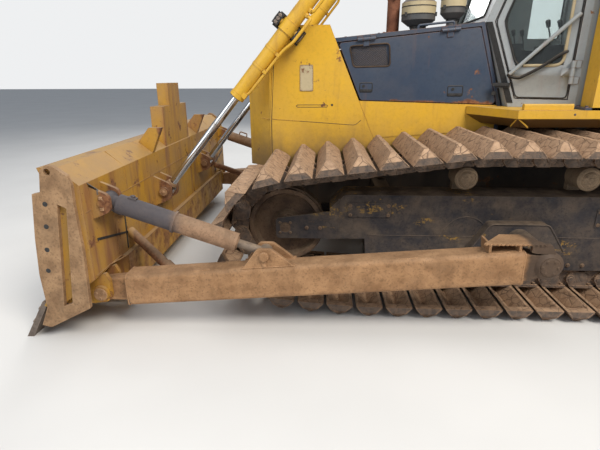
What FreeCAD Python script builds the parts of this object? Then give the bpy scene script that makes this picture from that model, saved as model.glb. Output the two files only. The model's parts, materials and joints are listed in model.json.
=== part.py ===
import FreeCAD, Part
import math
import os
import re
from types import SimpleNamespace

# A crawler bulldozer with a straight blade, in millimetres.
# +X is forward, towards the blade, +Y is the machine's left and +Z is up.
# The origin lies on the ground under the middle of the machine's box.

V = FreeCAD.Vector
DOC = FreeCAD.newDocument("bulldozer")
SHEET = DOC.addObject("Spreadsheet::Sheet", "dim")

# name, value or the formula that gives it (millimetres, unless the note says otherwise), note
SIZES = (
    ("track_gauge", 2050, "between the centre lines of the two tracks"),
    ("shoe_width", 950, "length of a shoe across the track"),
    ("shoe_height", 100, "base of a shoe to its crest"),
    ("shoe_base", 186, "base of a shoe along the track"),
    ("shoe_crest", 24, "flat of the crest"),
    ("shoe_bevel", 52, "length of the slanted end of a crest"),
    ("shoe_count", 44, "count on each track"),
    ("pin_to_shoe", 70, "track pin to the shoe's base"),
    ("pin_to_rail", 57, "track pin to the face that the rollers run on"),
    ("rail_width", 46, "thickness of one link rail"),
    ("rail_spread", 100, "track centre line to the outer face of a link rail"),
    ("rail_flat", 80, "half of the flat that a rail offers between two pins"),
    ("idler_x", 1120, "idler axle"),
    ("idler_z", 565, "idler axle"),
    ("idler_pitch", 350, "radius of the pins round the idler"),
    ("sprocket_x", -2140, "sprocket axle"),
    ("sprocket_z", 615, "sprocket axle"),
    ("sprocket_pitch", 445, "radius of the pins round the sprocket"),
    ("sprocket_teeth", 26, "count"),
    ("roller_tread", 115, "radius of a track roller"),
    ("roller_flange", 15, "a track roller's flange above its tread"),
    ("ramp_x", 560, "where the track starts to rise towards the idler"),
    ("roller_front_x", 380, "first track roller"),
    ("roller_rear_x", -1590, "last track roller"),
    ("roller_count", 8, "count on each side"),
    ("carrier_front_x", -176, "front carrier roller"),
    ("carrier_rear_x", -1022, "rear carrier roller"),
    ("carrier_z", 938, "carrier roller axle"),
    ("carrier_tread", 85, "radius of a carrier roller"),
    ("roller_gap", 0.3, "gap between a roller and its rail"),
    ("frame_width", 270, "track frame"),
    ("frame_top", 820, "top of the track frame"),
    ("frame_floor", 484, "underside of the track frame between its skirts"),
    ("skirt", 22, "thickness of the roller guards"),
    ("trunnion_x", -545, "ball that carries a push arm"),
    ("trunnion_z", 525, "ball that carries a push arm"),
    ("arm_y", "track_gauge/2 + shoe_width/2 + 145", "middle of a push arm"),
    ("arm_width", 170, "push arm"),
    ("arm_height", 220, "push arm"),
    ("arm_round", 32, "corner of the push arm's section"),
    ("arm_rear_x", -390, "rear end plate of a push arm"),
    ("arm_front_x", 2120, "front end plate of a push arm"),
    ("ball", 62, "radius of the trunnion ball"),
    ("ball_gap", 0.5, "gap round the trunnion ball"),
    ("socket", "ball + 30", "radius of the socket round the ball"),
    ("trunnion_shaft", 36, "radius of the shaft that carries the ball"),
    ("trunnion_seat", 40, "depth of that shaft in the track frame"),
    ("boss_gap", 16, "from the push arm's socket to the bevelled end of the boss that holds the shaft"),
    ("step_z", 660, "step plate above the rear end of a push arm"),
    ("step_tooth", 25, "from tooth to tooth on the edge of that plate"),
    ("step_inner", "track_gauge/2 + shoe_width/2 + 32", "inner edge of that plate, clear of the shoes"),
    ("blade_pin_x", "blade_back_x + 23", "pin between push arm and blade"),
    ("blade_pin_z", 290, "pin between push arm and blade"),
    ("blade_pin", 34, "radius of that pin"),
    ("blade_half", "arm_y + 205", "half the width of the blade"),
    ("blade_tip_x", 2800, "cutting edge where it meets the ground"),
    ("blade_back_x", "blade_tip_x - 538", "back plate of the blade"),
    ("blade_skin", 28, "plates of the blade"),
    ("end_plate", 30, "thickness of the blade's end plates"),
    ("brace_front_x", "blade_back_x - 68", "brace pin at the blade"),
    ("brace_front_z", 902, "brace pin at the blade"),
    ("brace_rear_x", 1204, "brace pin at the push arm"),
    ("brace_rear_z", 566, "brace pin at the push arm"),
    ("brace_barrel", 62, "radius of the tilt cylinder and of the screw brace"),
    ("brace_rod", 28, "radius of the tilt cylinder's rod"),
    ("brace_barrel_length", 854, "from the pin at the blade to the barrel's far end"),
    ("lift_y", "guard_half + 110", "lift cylinder"),
    ("lift_top_x", 1120, "swivel of the lift cylinder"),
    ("lift_top_z", 1980, "swivel of the lift cylinder"),
    ("lift_eye_x", "blade_back_x - 82", "rod eye of the lift cylinder"),
    ("lift_eye_z", 720, "rod eye of the lift cylinder"),
    ("lift_barrel", 58, "radius of the lift cylinder"),
    ("lift_bore", 46, "radius inside the lift cylinder"),
    ("lift_rod", 32, "radius of the lift cylinder's rod"),
    ("lift_below", 656, "swivel to the lower end of the barrel"),
    ("lift_above", 630, "swivel to the upper end of the barrel"),
    ("lift_piston", 170, "swivel to the piston at rest"),
    ("lift_eye_width", 90, "rod eye"),
    ("running", 0.05, "gap of a shaft in its hole"),
    ("ear_gap", 12, "gap between a rod eye and the ears beside it"),
    ("lift_gap", 20, "gap between a lift rod's eye and the lugs beside it"),
    ("ear", 28, "thickness of an ear"),
    ("hull_half", "(track_gauge - shoe_width)/2 - 150", "half the width of the hull"),
    ("hull_floor", 510, "ground clearance"),
    ("hull_top", 1000, "hull under the engine"),
    ("guard_half", "(track_gauge - shoe_width)/2 - 20", "half the width of the radiator guard"),
    ("guard_skin", 26, "plates of the radiator guard"),
    ("guard_face_x", 1480, "face of the radiator guard"),
    ("seam_low_x", 433, "foot of the seam between guard and side panel"),
    ("seam_low_z", 1144, "foot of the seam between guard and side panel"),
    ("guard_corner", 190, "depth of the guard's slanted corners"),
    ("guard_floor", 900, "lower edge of the radiator guard"),
    ("guard_bend_z", 1640, "where the guard's face starts to slope back"),
    ("guard_brow_z", 1960, "upper end of that slope"),
    ("hood_half", "guard_half - 10", "half the width of the hood"),
    ("hood_front_x", 765, "front edge of the hood"),
    ("hood_rear_x", -371, "rear edge of the hood"),
    ("hood_front_z", 1915, "top of the hood in front"),
    ("hood_rear_z", 2020, "top of the hood at the cab"),
    ("hood_skin", 30, "thickness of the hood's panels"),
    ("sill_front_z", 1448, "lower edge of the hood's side doors in front"),
    ("sill_rear_z", 1412, "lower edge of the hood's side doors at the cab"),
    ("cab_gap", 18, "between the hood and the cab"),
    ("cab_rake", 0.33, "lean of the cab's front below its knee, as a slope"),
    ("screen_rake", 0.30, "lean of the windscreen, as a slope"),
    ("door_post", 60, "width of the post in front of a cab door"),
    ("cab_floor", 1400, "underside of the cab"),
    ("cab_roof", "height - 140", "top of the cab's roof"),
    ("cab_wall", 50, "thickness of the cab's walls"),
    ("cab_half", 830, "half the width of the cab"),
    ("cab_front_half", "guard_half - 30", "half the width of the cab's front"),
    ("cab_knee_x", -386, "foremost edge of the cab's front"),
    ("cab_knee_z", 2018, "height of that edge"),
    ("cab_corner_x", -980, "rear edge of the door"),
    ("cab_rear_x", -1640, "rear wall of the cab"),
    ("fender_out", "rops_out + 10", "outer edge of a fender"),
    ("fender_top", "cab_floor - 0.3", "top of a fender"),
    ("fender_lip", 58, "height of the fender's upright edge"),
    ("fender_skirt", 70, "height of the fender's slanted underside"),
    ("rops_out", "cab_half + 170", "outer face of the rollover posts"),
    ("rops_post", 150, "rollover post"),
    ("rops_x", -1210, "rear face of the rollover posts"),
    ("height", 3200, "top of the rollover frame"),
    ("lamp", 62, "radius of a work lamp on the rollover frame"),
    ("tank_front_x", "cab_rear_x - 60", "fuel tank"),
    ("tank_rear_x", -2600, "fuel tank"),
    ("tank_top", 1900, "fuel tank"),
    ("hitch_x", -2800, "rear end of the drawbar"),
    ("hitch_z", 560, "middle of the drawbar"),
    ("hitch_pin", 28, "radius of the drawbar's pin hole"),
    ("hitch_thick", 60, "drawbar"),
)
NAMES = {name for name, value, note in SIZES}
for row, (name, value, note) in enumerate(SIZES, start=1):
    SHEET.set(f"A{row}", name)
    SHEET.setAlias(f"B{row}", name)
for row, (name, value, note) in enumerate(SIZES, start=1):
    SHEET.set(f"B{row}", f"={value}")
    SHEET.set(f"C{row}", note)
DOC.recompute()
D = SimpleNamespace(**{name: float(getattr(SHEET, name)) for name, value, note in SIZES})
SHOES, ROLLERS, TEETH = int(D.shoe_count), int(D.roller_count), int(D.sprocket_teeth)

NODES = {}


def tied(text):
    """An expression in which each size's name points at its cell."""
    words = r"[a-z][a-z0-9_]*"
    return re.sub(words, lambda word: f"dim.{word[0]}" if word[0] in NAMES else word[0], str(text))


def box(name, x, y, z):
    """A box between three pairs of expressions."""
    made = DOC.addObject("Part::Box", name)
    for side, place, (low, high) in (("Length", "x", x), ("Width", "y", y), ("Height", "z", z)):
        made.setExpression(side, tied(f"({high}) - ({low})"))
        made.setExpression(f"Placement.Base.{place}", tied(low))
    return made


TURNS = {
    "x": FreeCAD.Rotation(V(0, 1, 0), 90),
    "y": FreeCAD.Rotation(V(1, 0, 0), -90),
    "z": FreeCAD.Rotation(),
}


def rod(name, axis, centre, radius, span):
    """A cylinder along an axis: centre is the other two coordinates, span its ends."""
    made = DOC.addObject("Part::Cylinder", name)
    made.Placement.Rotation = TURNS[axis]
    low, high = span
    made.setExpression("Radius", tied(radius))
    made.setExpression("Height", tied(f"({high}) - ({low})"))
    others = [letter for letter in "xyz" if letter != axis]
    for letter, value in zip([axis] + others, [low] + list(centre)):
        made.setExpression(f"Placement.Base.{letter}", tied(value))
    return made


def rounded(outline):
    """Edges of a closed outline of (a, b) corners, or (a, b, radius) ones that are rounded."""
    count = len(outline)
    ends = []
    for index, corner in enumerate(outline):
        here = V(corner[0], corner[1], 0)
        if len(corner) < 3:
            ends.append((here, None, here))
            continue
        before = V(outline[index - 1][0], outline[index - 1][1], 0) - here
        after = V(outline[(index + 1) % count][0], outline[(index + 1) % count][1], 0) - here
        before.normalize()
        after.normalize()
        half = before.getAngle(after) / 2
        reach = corner[2] / math.tan(half)
        middle = before + after
        middle.normalize()
        top = here + middle * (corner[2] / math.sin(half) - corner[2])
        ends.append((here + before * reach, top, here + after * reach))
    edges = []
    for index, (start, top, end) in enumerate(ends):
        if top is not None:
            edges.append(Part.Arc(start, top, end))
        following = ends[(index + 1) % count][0]
        edges.append(Part.LineSegment(end, following))
    return edges


PLANES = {"x": ("YZ_Plane", 1), "y": ("XZ_Plane", -1), "z": ("XY_Plane", 1)}


def prism(name, axis, outline, span, holes=()):
    """A body padded along an axis from a sketch of its outline, with round holes (a, b, radius).

    Along x the sketch's coordinates are (y, z), along y they are (x, z), along z (x, y)."""
    role, sign = PLANES[axis]
    low, high = span
    body = DOC.addObject("PartDesign::Body", name)
    sketch = body.newObject("Sketcher::SketchObject", f"{name}_outline")
    plane = next(item for item in body.Origin.OriginFeatures if item.Role == role)
    sketch.AttachmentSupport = [(plane, "")]
    sketch.MapMode = "FlatFace"
    start = low if sign > 0 else f"-({high})"
    sketch.setExpression("AttachmentOffset.Base.z", tied(start))
    sketch.addGeometry(rounded(outline), False)
    for a, b, radius in holes:
        sketch.addGeometry(Part.Circle(V(a, b, 0), V(0, 0, 1), radius), False)
    pad = body.newObject("PartDesign::Pad", f"{name}_pad")
    pad.Profile = sketch
    pad.setExpression("Length", tied(f"({high}) - ({low})"))
    return body


def turned(name, axis, outline, centre):
    """A body revolved about an axis through centre: outline is (along, radius) corners."""
    body = DOC.addObject("PartDesign::Body", name)
    sketch = body.newObject("Sketcher::SketchObject", f"{name}_outline")
    plane = next(item for item in body.Origin.OriginFeatures if item.Role == "XY_Plane")
    sketch.AttachmentSupport = [(plane, "")]
    sketch.MapMode = "FlatFace"
    sketch.addGeometry(rounded(outline), False)
    spin = body.newObject("PartDesign::Revolution", f"{name}_turn")
    spin.Profile = sketch
    spin.ReferenceAxis = (sketch, ["H_Axis"])
    spin.Angle = 360
    direction = {"x": V(1, 0, 0), "y": V(0, 1, 0), "z": V(0, 0, 1)}[axis] if isinstance(axis, str) else axis
    body.Placement = FreeCAD.Placement(V(*centre), FreeCAD.Rotation(V(1, 0, 0), direction))
    return body


def fuse(name, *pieces):
    made = DOC.addObject("Part::MultiFuse", name)
    made.Shapes = list(pieces)
    return made


def group(name, *pieces):
    """Solids of one node that don't touch."""
    made = DOC.addObject("Part::Compound", name)
    made.Links = list(pieces)
    return made


def cut(name, base, *tools):
    made = DOC.addObject("Part::Cut", name)
    made.Base = base
    made.Tool = tools[0] if len(tools) == 1 else fuse(f"{name}_tools", *tools)
    return made


def mirrored(name, source):
    made = DOC.addObject("Part::Mirroring", name)
    made.Source = source
    made.Normal = V(0, 1, 0)
    return made


def node(label, made):
    """Names the finished piece."""
    made.Label = label
    NODES[label] = made
    return made


def both(label, made):
    """A finished piece on the left and its mirror image on the right."""
    node(f"{label}_left", made)
    node(f"{label}_right", mirrored(f"{label}_right", made))


def pair(label, made):
    """One node that holds a piece on the left and its mirror image on the right."""
    node(label, group(label, made, mirrored(f"{label}_right", made)))


def along(start, end, distance):
    """The point at a distance from start towards end, in the X-Z plane."""
    length = math.hypot(end[0] - start[0], end[1] - start[1])
    share = distance / length
    return (start[0] + (end[0] - start[0]) * share, start[1] + (end[1] - start[1]) * share)


def bar_between(name, start, end, y, radius, span, hole=0):
    """A round bar in a plane of constant y, on the line from start to end, span along it."""
    low, high = span
    direction = V(end[0] - start[0], 0, end[1] - start[1])
    foot = along(start, end, low)
    inner = hole if hole else 0
    outline = [(0, inner), (high - low, inner), (high - low, radius), (0, radius)]
    return turned(name, direction, outline, (foot[0], y, foot[1]))


# Track: pins follow a belt line round sprocket, idler, carrier rollers and track rollers


def belt_line(wheels):
    """Straight runs and arcs of a belt round wheels (x, z, radius), taken anticlockwise."""
    count = len(wheels)
    touches = []
    for index in range(count):
        x1, z1, r1 = wheels[index]
        x2, z2, r2 = wheels[(index + 1) % count]
        angle = math.atan2(z2 - z1, x2 - x1)
        lean = math.acos((r1 - r2) / math.hypot(x2 - x1, z2 - z1))
        touches.append(angle - lean)
    stretches = []
    for index in range(count):
        x, z, radius = wheels[index]
        begin, end = touches[index - 1], touches[index]
        while end < begin - 1e-9:
            end += 2 * math.pi
        stretches.append(("arc", x, z, radius, begin, end))
        x2, z2, r2 = wheels[(index + 1) % count]
        start = (x + radius * math.cos(end), z + radius * math.sin(end))
        finish = (x2 + r2 * math.cos(end), z2 + r2 * math.sin(end))
        stretches.append(("run", start, finish))
    return stretches


def belt_length(stretch):
    if stretch[0] == "arc":
        return stretch[3] * (stretch[5] - stretch[4])
    return math.dist(stretch[1], stretch[2])


def belt_point(stretches, distance):
    for stretch in stretches:
        length = belt_length(stretch)
        if distance <= length:
            break
        distance -= length
    if stretch[0] == "arc":
        angle = stretch[4] + distance / stretch[3]
        return (stretch[1] + stretch[3] * math.cos(angle), stretch[2] + stretch[3] * math.sin(angle))
    return along(stretch[1], stretch[2], distance) if distance else stretch[1]


def track_pins():
    """Pin centres, in the X-Z plane, anticlockwise from the sprocket's top."""
    ground = D.shoe_height + D.pin_to_shoe
    near_ground = D.roller_tread + D.pin_to_rail
    carrier = D.carrier_tread + D.pin_to_rail
    wheels = (
        (D.idler_x, D.idler_z, D.idler_pitch),
        (D.carrier_front_x, D.carrier_z, carrier),
        (D.carrier_rear_x, D.carrier_z, carrier),
        (D.sprocket_x, D.sprocket_z, D.sprocket_pitch),
        (D.roller_rear_x, ground + near_ground, near_ground),
        (D.ramp_x, ground + near_ground, near_ground),
    )
    line = belt_line(wheels)
    total = sum(belt_length(stretch) for stretch in line)
    pitch = total / SHOES
    return [belt_point(line, pitch * (index + PIN_PHASE)) for index in range(SHOES)]


PIN_PHASE = 0.35
PINS = track_pins()


def link_frames():
    """For each link: middle between its pins, direction along the track, outward direction."""
    frames = []
    for index, pin in enumerate(PINS):
        following = PINS[(index + 1) % len(PINS)]
        length = math.dist(pin, following)
        forward = ((following[0] - pin[0]) / length, (following[1] - pin[1]) / length)
        middle = ((pin[0] + following[0]) / 2, (pin[1] + following[1]) / 2)
        frames.append((middle, forward, (forward[1], -forward[0])))
    return frames


def rail_path():
    """Inner outline of the rails, on which the rollers and the idler run."""
    path = []
    for middle, forward, outward in link_frames():
        for s in (-D.rail_flat, D.rail_flat):
            path.append((middle[0] + forward[0] * s - outward[0] * D.pin_to_rail,
                         middle[1] + forward[1] * s - outward[1] * D.pin_to_rail))
    return path


def rail_distance(x, z):
    """Least distance from an axle to the rails' inner outline."""
    path = rail_path()
    least = 1e9
    for index, start in enumerate(path):
        end = path[(index + 1) % len(path)]
        run = (end[0] - start[0], end[1] - start[1])
        share = ((x - start[0]) * run[0] + (z - start[1]) * run[1]) / (run[0] ** 2 + run[1] ** 2)
        share = min(1, max(0, share))
        least = min(least, math.dist((x, z), (start[0] + run[0] * share, start[1] + run[1] * share)))
    return least


def ring(name, outer, inner, span):
    """A loop padded along y between two closed outlines."""
    made = DOC.addObject("Part::Feature", name)
    low, high = span
    faces = []
    for outline in (outer, inner):
        points = [V(a, low, b) for a, b in outline]
        faces.append(Part.Face(Part.makePolygon(points + points[:1])))
    made.Shape = faces[0].cut(faces[1]).Faces[0].extrude(V(0, high - low, 0))
    return made


def shoe_solid():
    """A shoe with a broad crest and slanted ends: x along the track, y across it, crest at -z."""
    half, crest, wide = D.shoe_base / 2, D.shoe_crest / 2, D.shoe_width / 2
    height = D.shoe_height

    def bar(corners, run):
        return Part.Face(Part.makePolygon(corners + corners[:1])).extrude(run)
    profile = [(-half, 0), (-crest, height), (crest, height), (half, 0)]
    shoe = bar([V(s, -wide, -h) for s, h in profile], V(0, 2 * wide, 0))
    for end in (-1, 1):
        corners = [(end * wide, height * 0.45), (end * (wide - D.shoe_bevel), height), (end * wide, height)]
        shoe = shoe.cut(bar([V(-half, y, -h) for y, h in corners], V(2 * half, 0, 0)))
    return shoe


def make_tracks():
    """Two rails of links with the shoes on them, as one rigid loop."""
    middle_y = D.track_gauge / 2
    shoe = shoe_solid()
    places, rail_out = [], []
    for middle, forward, outward in link_frames():
        base = V(middle[0] + outward[0] * D.pin_to_shoe, middle_y, middle[1] + outward[1] * D.pin_to_shoe)
        turn = FreeCAD.Rotation(V(0, 1, 0), -math.degrees(math.atan2(forward[1], forward[0])))
        places.append(FreeCAD.Placement(base, turn))
        for s in (-D.rail_flat, D.rail_flat):
            rail_out.append((middle[0] + forward[0] * s + outward[0] * (D.pin_to_shoe + 6),
                             middle[1] + forward[1] * s + outward[1] * (D.pin_to_shoe + 6)))
    rails = []
    for word, side in (("outer", 1), ("inner", -1)):
        edge = middle_y + side * D.rail_spread
        low, high = sorted((edge, edge - side * D.rail_width))
        rails.append(ring(f"rail_{word}", rail_out, rail_path(), (low, high)))
    shoes = []
    for index, place in enumerate(places):
        made = DOC.addObject("Part::Feature", f"shoe_{index}")
        made.Shape = shoe
        made.Placement = place
        shoes.append(made)
    both("track", fuse("track", *rails, *shoes))


def flat_wheel(name, x, z, discs, sides=16):
    """A wheel with flat sides: discs along y, from and to measured from the track's middle, and radius."""
    made = []
    for index, (low, high, radius) in enumerate(discs):
        corners = []
        for side in range(sides):
            angle = 2 * math.pi * side / sides - math.pi / 2
            corners.append((x + radius * math.cos(angle), z + radius * math.sin(angle)))
        span = (f"track_gauge/2 + ({low})", f"track_gauge/2 + ({high})")
        made.append(prism(f"{name}_disc_{index}", "y", corners, span))
    return fuse(name, *made)


def make_idler():
    tread = rail_distance(D.idler_x, D.idler_z) - D.roller_gap
    flange = D.rail_spread - D.rail_width - 6
    outline = [
        (-86, 0), (86, 0), (86, 95), (26, 112), (26, tread - 50), (80, tread - 30), (80, tread),
        (flange, tread), (flange, tread + 14), (-flange, tread + 14), (-flange, tread), (-80, tread),
        (-80, tread - 30), (-26, tread - 50), (-26, 112), (-86, 95),
    ]
    wheel = turned("idler_wheel", "y", outline, (D.idler_x, D.track_gauge / 2, D.idler_z))
    axle = rod("idler_axle", "y", ("idler_x", "idler_z"), 40, ("track_gauge/2 - 130", "track_gauge/2 + 130"))
    pair("idlers", fuse("idler", wheel, axle))


def make_sprocket():
    middle = D.track_gauge / 2
    root = D.sprocket_pitch - 48
    tip = D.sprocket_pitch + 6
    outline = []
    for tooth in range(TEETH):
        centre = 2 * math.pi * tooth / TEETH
        step = math.pi / TEETH
        for share, radius in ((-0.95, root), (-0.30, tip), (0.30, tip), (0.95, root)):
            angle = centre + share * step
            outline.append((D.sprocket_x + radius * math.cos(angle), D.sprocket_z + radius * math.sin(angle)))
    teeth = prism("sprocket_teeth", "y", outline, ("track_gauge/2 - 32", "track_gauge/2 + 32"))
    hub = turned("sprocket_hub", "y", [
        (-150, 0), (140, 0), (140, 150), (110, 205), (60, 265), (-150, 285)], (D.sprocket_x, middle,
            D.sprocket_z))
    pair("sprockets", fuse("sprocket", teeth, hub))


def roller_places():
    step = (D.roller_rear_x - D.roller_front_x) / (ROLLERS - 1)
    return [D.roller_front_x + step * index for index in range(ROLLERS)]


def make_rollers():
    """Track rollers under the frame and carrier rollers above it, each turned about y."""
    height = D.shoe_height + D.pin_to_shoe + D.pin_to_rail + D.roller_tread + D.roller_gap
    inner = D.rail_spread - D.rail_width - 4
    reach = D.rail_spread + 8
    seat = D.frame_width / 2 - D.skirt
    discs = ((-seat, seat, 30), (-reach, reach, D.roller_tread), (-inner, inner,
        D.roller_tread + D.roller_flange))
    rollers = [flat_wheel(f"track_roller_{index}", x, height, discs) for index,
        x in enumerate(roller_places())]
    pair("track_rollers", group("track_rollers_left", *rollers))
    middle = D.track_gauge / 2
    carriers = []
    for word, place in (("front", "carrier_front_x"), ("rear", "carrier_rear_x")):
        x = getattr(D, place)
        tread = rail_distance(x, D.carrier_z) - D.roller_gap
        outline = [(-70, 0), (116, 0), (116, 50), (108, 54), (108, tread - 12), (98, tread), (-70, tread)]
        wheel = turned(f"carrier_wheel_{word}", "y", outline, (x, middle, D.carrier_z))
        axle = rod(f"carrier_axle_{word}", "y", (place, "carrier_z"), 34,
                   ("track_gauge/2 - frame_width/2 + 10", "track_gauge/2 - 60"))
        post = box(f"carrier_post_{word}", (f"{place} - 45", f"{place} + 45"),
                   ("track_gauge/2 - frame_width/2 + 10", "track_gauge/2 - 75"), ("frame_top", "carrier_z"))
        carriers.append(fuse(f"carrier_{word}", wheel, axle, post))
    pair("carrier_rollers", group("carrier_rollers_left", *carriers))


def make_track_frame():
    """Closed beam with roller guards below, a fork for the idler and the trunnion's bracket."""
    rear = D.sprocket_x + 470
    front = D.idler_x - 330
    beam = prism("frame_beam", "y", [
        (rear, 700), (rear, D.frame_floor + 40), (rear + 60, D.frame_floor), (front, D.frame_floor),
        (front, 720), (front - 110, D.frame_top, 60), (rear + 160, D.frame_top, 60)],
        ("track_gauge/2 - frame_width/2", "track_gauge/2 + frame_width/2"))
    skirt_low = D.shoe_height + D.pin_to_shoe + D.pin_to_rail + 30
    pieces = [beam]
    notches = []
    for x in (D.trunnion_x - 150, D.trunnion_x + 35):
        notches += [(x - 66, skirt_low), (x - 52, skirt_low + 58), (x + 52, skirt_low + 58), (x + 66,
            skirt_low)]
    for word, span in (
        ("outer", ("track_gauge/2 + frame_width/2 - skirt", "track_gauge/2 + frame_width/2")),
        ("inner", ("track_gauge/2 - frame_width/2", "track_gauge/2 - frame_width/2 + skirt")),
    ):
        pieces.append(prism(f"roller_guard_{word}", "y", [
            (D.roller_rear_x - 90, D.frame_floor + 30), (D.roller_rear_x - 50, skirt_low), *notches,
            (D.roller_front_x + 130, skirt_low), (D.roller_front_x + 150, D.frame_floor + 30)], span))
        pieces.append(prism(f"idler_fork_{word}", "y", [
            (front - 60, 480), (D.idler_x + 70, 480, 30), (D.idler_x + 70, 635, 30), (front - 60, 700)], span,
            [(D.idler_x, D.idler_z, 40 + D.running)]))
    root, end = D.track_gauge / 2 + D.frame_width / 2 - 20 - D.arm_y, -(D.socket + D.boss_gap)
    boss = turned("trunnion_boss", "y", [
        (root, 0), (end, 0), (end, 58), (end - 30, 84), (root, 84)], (D.trunnion_x, D.arm_y, D.trunnion_z))
    seat = rod("trunnion_seat", "y", ("trunnion_x", "trunnion_z"), "trunnion_shaft + running",
               ("arm_y - socket - boss_gap - trunnion_seat", "arm_y"))
    brace = prism("trunnion_brace", "y", [
        (D.trunnion_x - 330, 440), (D.trunnion_x + 330, 440), (D.trunnion_x + 200, 640, 40),
        (D.trunnion_x - 200, 640, 40)], ("track_gauge/2 + frame_width/2 - 20",
            "track_gauge/2 + frame_width/2 + 90"))
    both("track_frame", cut("track_frame", fuse("track_frame_whole", *pieces, boss, brace), seat))


BALL_ANGLES = (-60, -36, -12, 12, 36, 60)


def ball_corners(radius):
    """Half outline of a ball in straight pieces: (along, radius) from its inner to its outer end."""
    return [(radius * math.sin(math.radians(angle)),
        radius * math.cos(math.radians(angle))) for angle in BALL_ANGLES]


def make_balls():
    """A ball on a shaft that turns in the track frame, for each push arm."""
    corners = ball_corners(D.ball)
    neck = math.sqrt(D.ball ** 2 - D.trunnion_shaft ** 2)
    root = -(D.socket + D.boss_gap + D.trunnion_seat)
    outline = [(root, 0), (corners[-1][0], 0)] + corners[:0:-1] + [(-neck, D.trunnion_shaft), (root,
        D.trunnion_shaft)]
    both("trunnion_ball", turned("trunnion_ball", "y", outline, (D.trunnion_x, D.arm_y, D.trunnion_z)))


# Push arms


def arm_line():
    return (D.trunnion_x, D.trunnion_z), (D.blade_pin_x, D.blade_pin_z)


def arm_at(x):
    """Height of the push arm's middle line at a place along the machine."""
    rear, front = arm_line()
    return rear[1] + (front[1] - rear[1]) * (x - rear[0]) / (front[0] - rear[0])


def arm_step(word):
    """Serrated step plate on two gussets, above the rear end of a push arm."""
    near, far, thick = D.arm_width / 2 - 15, D.step_inner - D.arm_y, 10
    rear, front, z = D.trunnion_x + 30, D.trunnion_x + 405, D.step_z
    teeth = int((front - rear) / D.step_tooth)
    outline = [(front - 150, D.arm_y + far), (front, D.arm_y + near - 12)]
    for tooth in range(teeth, 0, -1):
        x = rear + (front - rear) * tooth / teeth
        outline += [(x, D.arm_y + near - 12), (x - D.step_tooth / 2, D.arm_y + near)]
    outline = outline[:1] + outline[2:] + [(rear, D.arm_y + near - 12), (rear + 70, D.arm_y + far)]
    plate = prism(f"step_plate_{word}", "z", outline, (z, z + thick))
    gussets = [
        prism(f"step_gusset_{index}_{word}", "x", [
            (D.arm_y - 70, arm_at(x) + 60), (D.arm_y + 55, arm_at(x) + 60), (D.arm_y + 55, z + 2),
            (D.step_inner + 10, z + 2)], (x, x + 14))
        for index, x in enumerate((D.arm_rear_x + 20, D.arm_rear_x + 200))]
    x, low = D.trunnion_x, D.trunnion_z
    bracket = prism(f"step_bracket_{word}", "y", [
        (x + 115, low + 92), (x + 115, z + 4), (x + 5, z + 8), (x - 15, z - 20), (x - 48, low + 30),
        (x - 24, low + 30), (x + 25, low + 84), (x + 85, low + 84)], ("arm_y + 34", "arm_y + 60"))
    return [plate, *gussets, bracket]


def make_arm(word):
    half_w, half_h, r = D.arm_width / 2, D.arm_height / 2, D.arm_round
    rear, front = arm_line()
    beam = prism(f"arm_beam_{word}", "x", [
        (-half_w, -half_h, r), (half_w, -half_h, r), (half_w, half_h, r), (-half_w, half_h, r)],
        (0, "arm_front_x - arm_rear_x"))
    slope = V(front[0] - rear[0], 0, front[1] - rear[1])
    beam.Placement = FreeCAD.Placement(V(D.arm_rear_x, D.arm_y, arm_at(D.arm_rear_x)),
                                       FreeCAD.Rotation(V(1, 0, 0), slope))
    wall = 12
    low, high = -D.ball, D.ball + D.ball_gap + 3 + wall
    shell = turned(f"socket_shell_{word}", "y", [
        (low, 0), (high, 0), (high, D.socket - 26), (high - 26, D.socket), (low, D.socket)],
        (D.trunnion_x, D.arm_y, D.trunnion_z))
    neck = prism(f"arm_neck_{word}", "y", [
        (D.trunnion_x, arm_at(D.trunnion_x) - 66), (D.arm_rear_x + 10, arm_at(D.arm_rear_x) - 92),
        (D.arm_rear_x + 10, arm_at(D.arm_rear_x) + 92), (D.trunnion_x, arm_at(D.trunnion_x) + 66)],
        ("arm_y - ball + 4", "arm_y + ball - 4"))
    corners = ball_corners((D.ball + D.ball_gap) / math.cos(math.radians(12)))
    mouth = D.trunnion_shaft + 15
    hollow = turned(f"socket_hollow_{word}", "y", [
        (low - 10, 0), (high - wall, 0), (high - wall, corners[-1][1])] + corners[:1:-1] + [
        corners[1], (low + 20, mouth), (low - 10, mouth)], (D.trunnion_x, D.arm_y, D.trunnion_z))
    eye = prism(f"arm_eye_{word}", "y", [
        (D.arm_front_x - 20, arm_at(D.arm_front_x) - 84), (D.blade_pin_x + 66, D.blade_pin_z - 66, 64),
        (D.blade_pin_x + 66, D.blade_pin_z + 66, 64), (D.arm_front_x - 20, arm_at(D.arm_front_x) + 84)],
        ("arm_y - 45", "arm_y + 45"))
    top = arm_at(D.brace_rear_x) + half_h
    pieces = [beam, shell, neck, eye, *arm_step(word)]
    for side, name in ((1, "out"), (-1, "in")):
        y = D.arm_y + side * (40 + D.ear_gap / 2)
        low, high = sorted((y, y + side * D.ear))
        pieces.append(prism(f"arm_ear_{name}_{word}", "y", [
            (D.brace_rear_x - 200, top + 3), (D.brace_rear_x + 150, top - 27),
            (D.brace_rear_x + 46, D.brace_rear_z + 46, 44), (D.brace_rear_x - 46, D.brace_rear_z + 46, 44)],
            (low, high)))
    stub = rod(f"arm_ear_pin_{word}", "y", ("brace_rear_x", "brace_rear_z"), 26,
               ("arm_y + 40 + ear_gap/2 + ear", "arm_y + 40 + ear_gap/2 + ear + 14"))
    return cut(f"arm_{word}", fuse(f"arm_whole_{word}", *pieces, stub), hollow)


def make_arms():
    node("push_arm_left", make_arm("left"))
    node("push_arm_right", mirrored("push_arm_right", make_arm("right")))


# Blade


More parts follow.
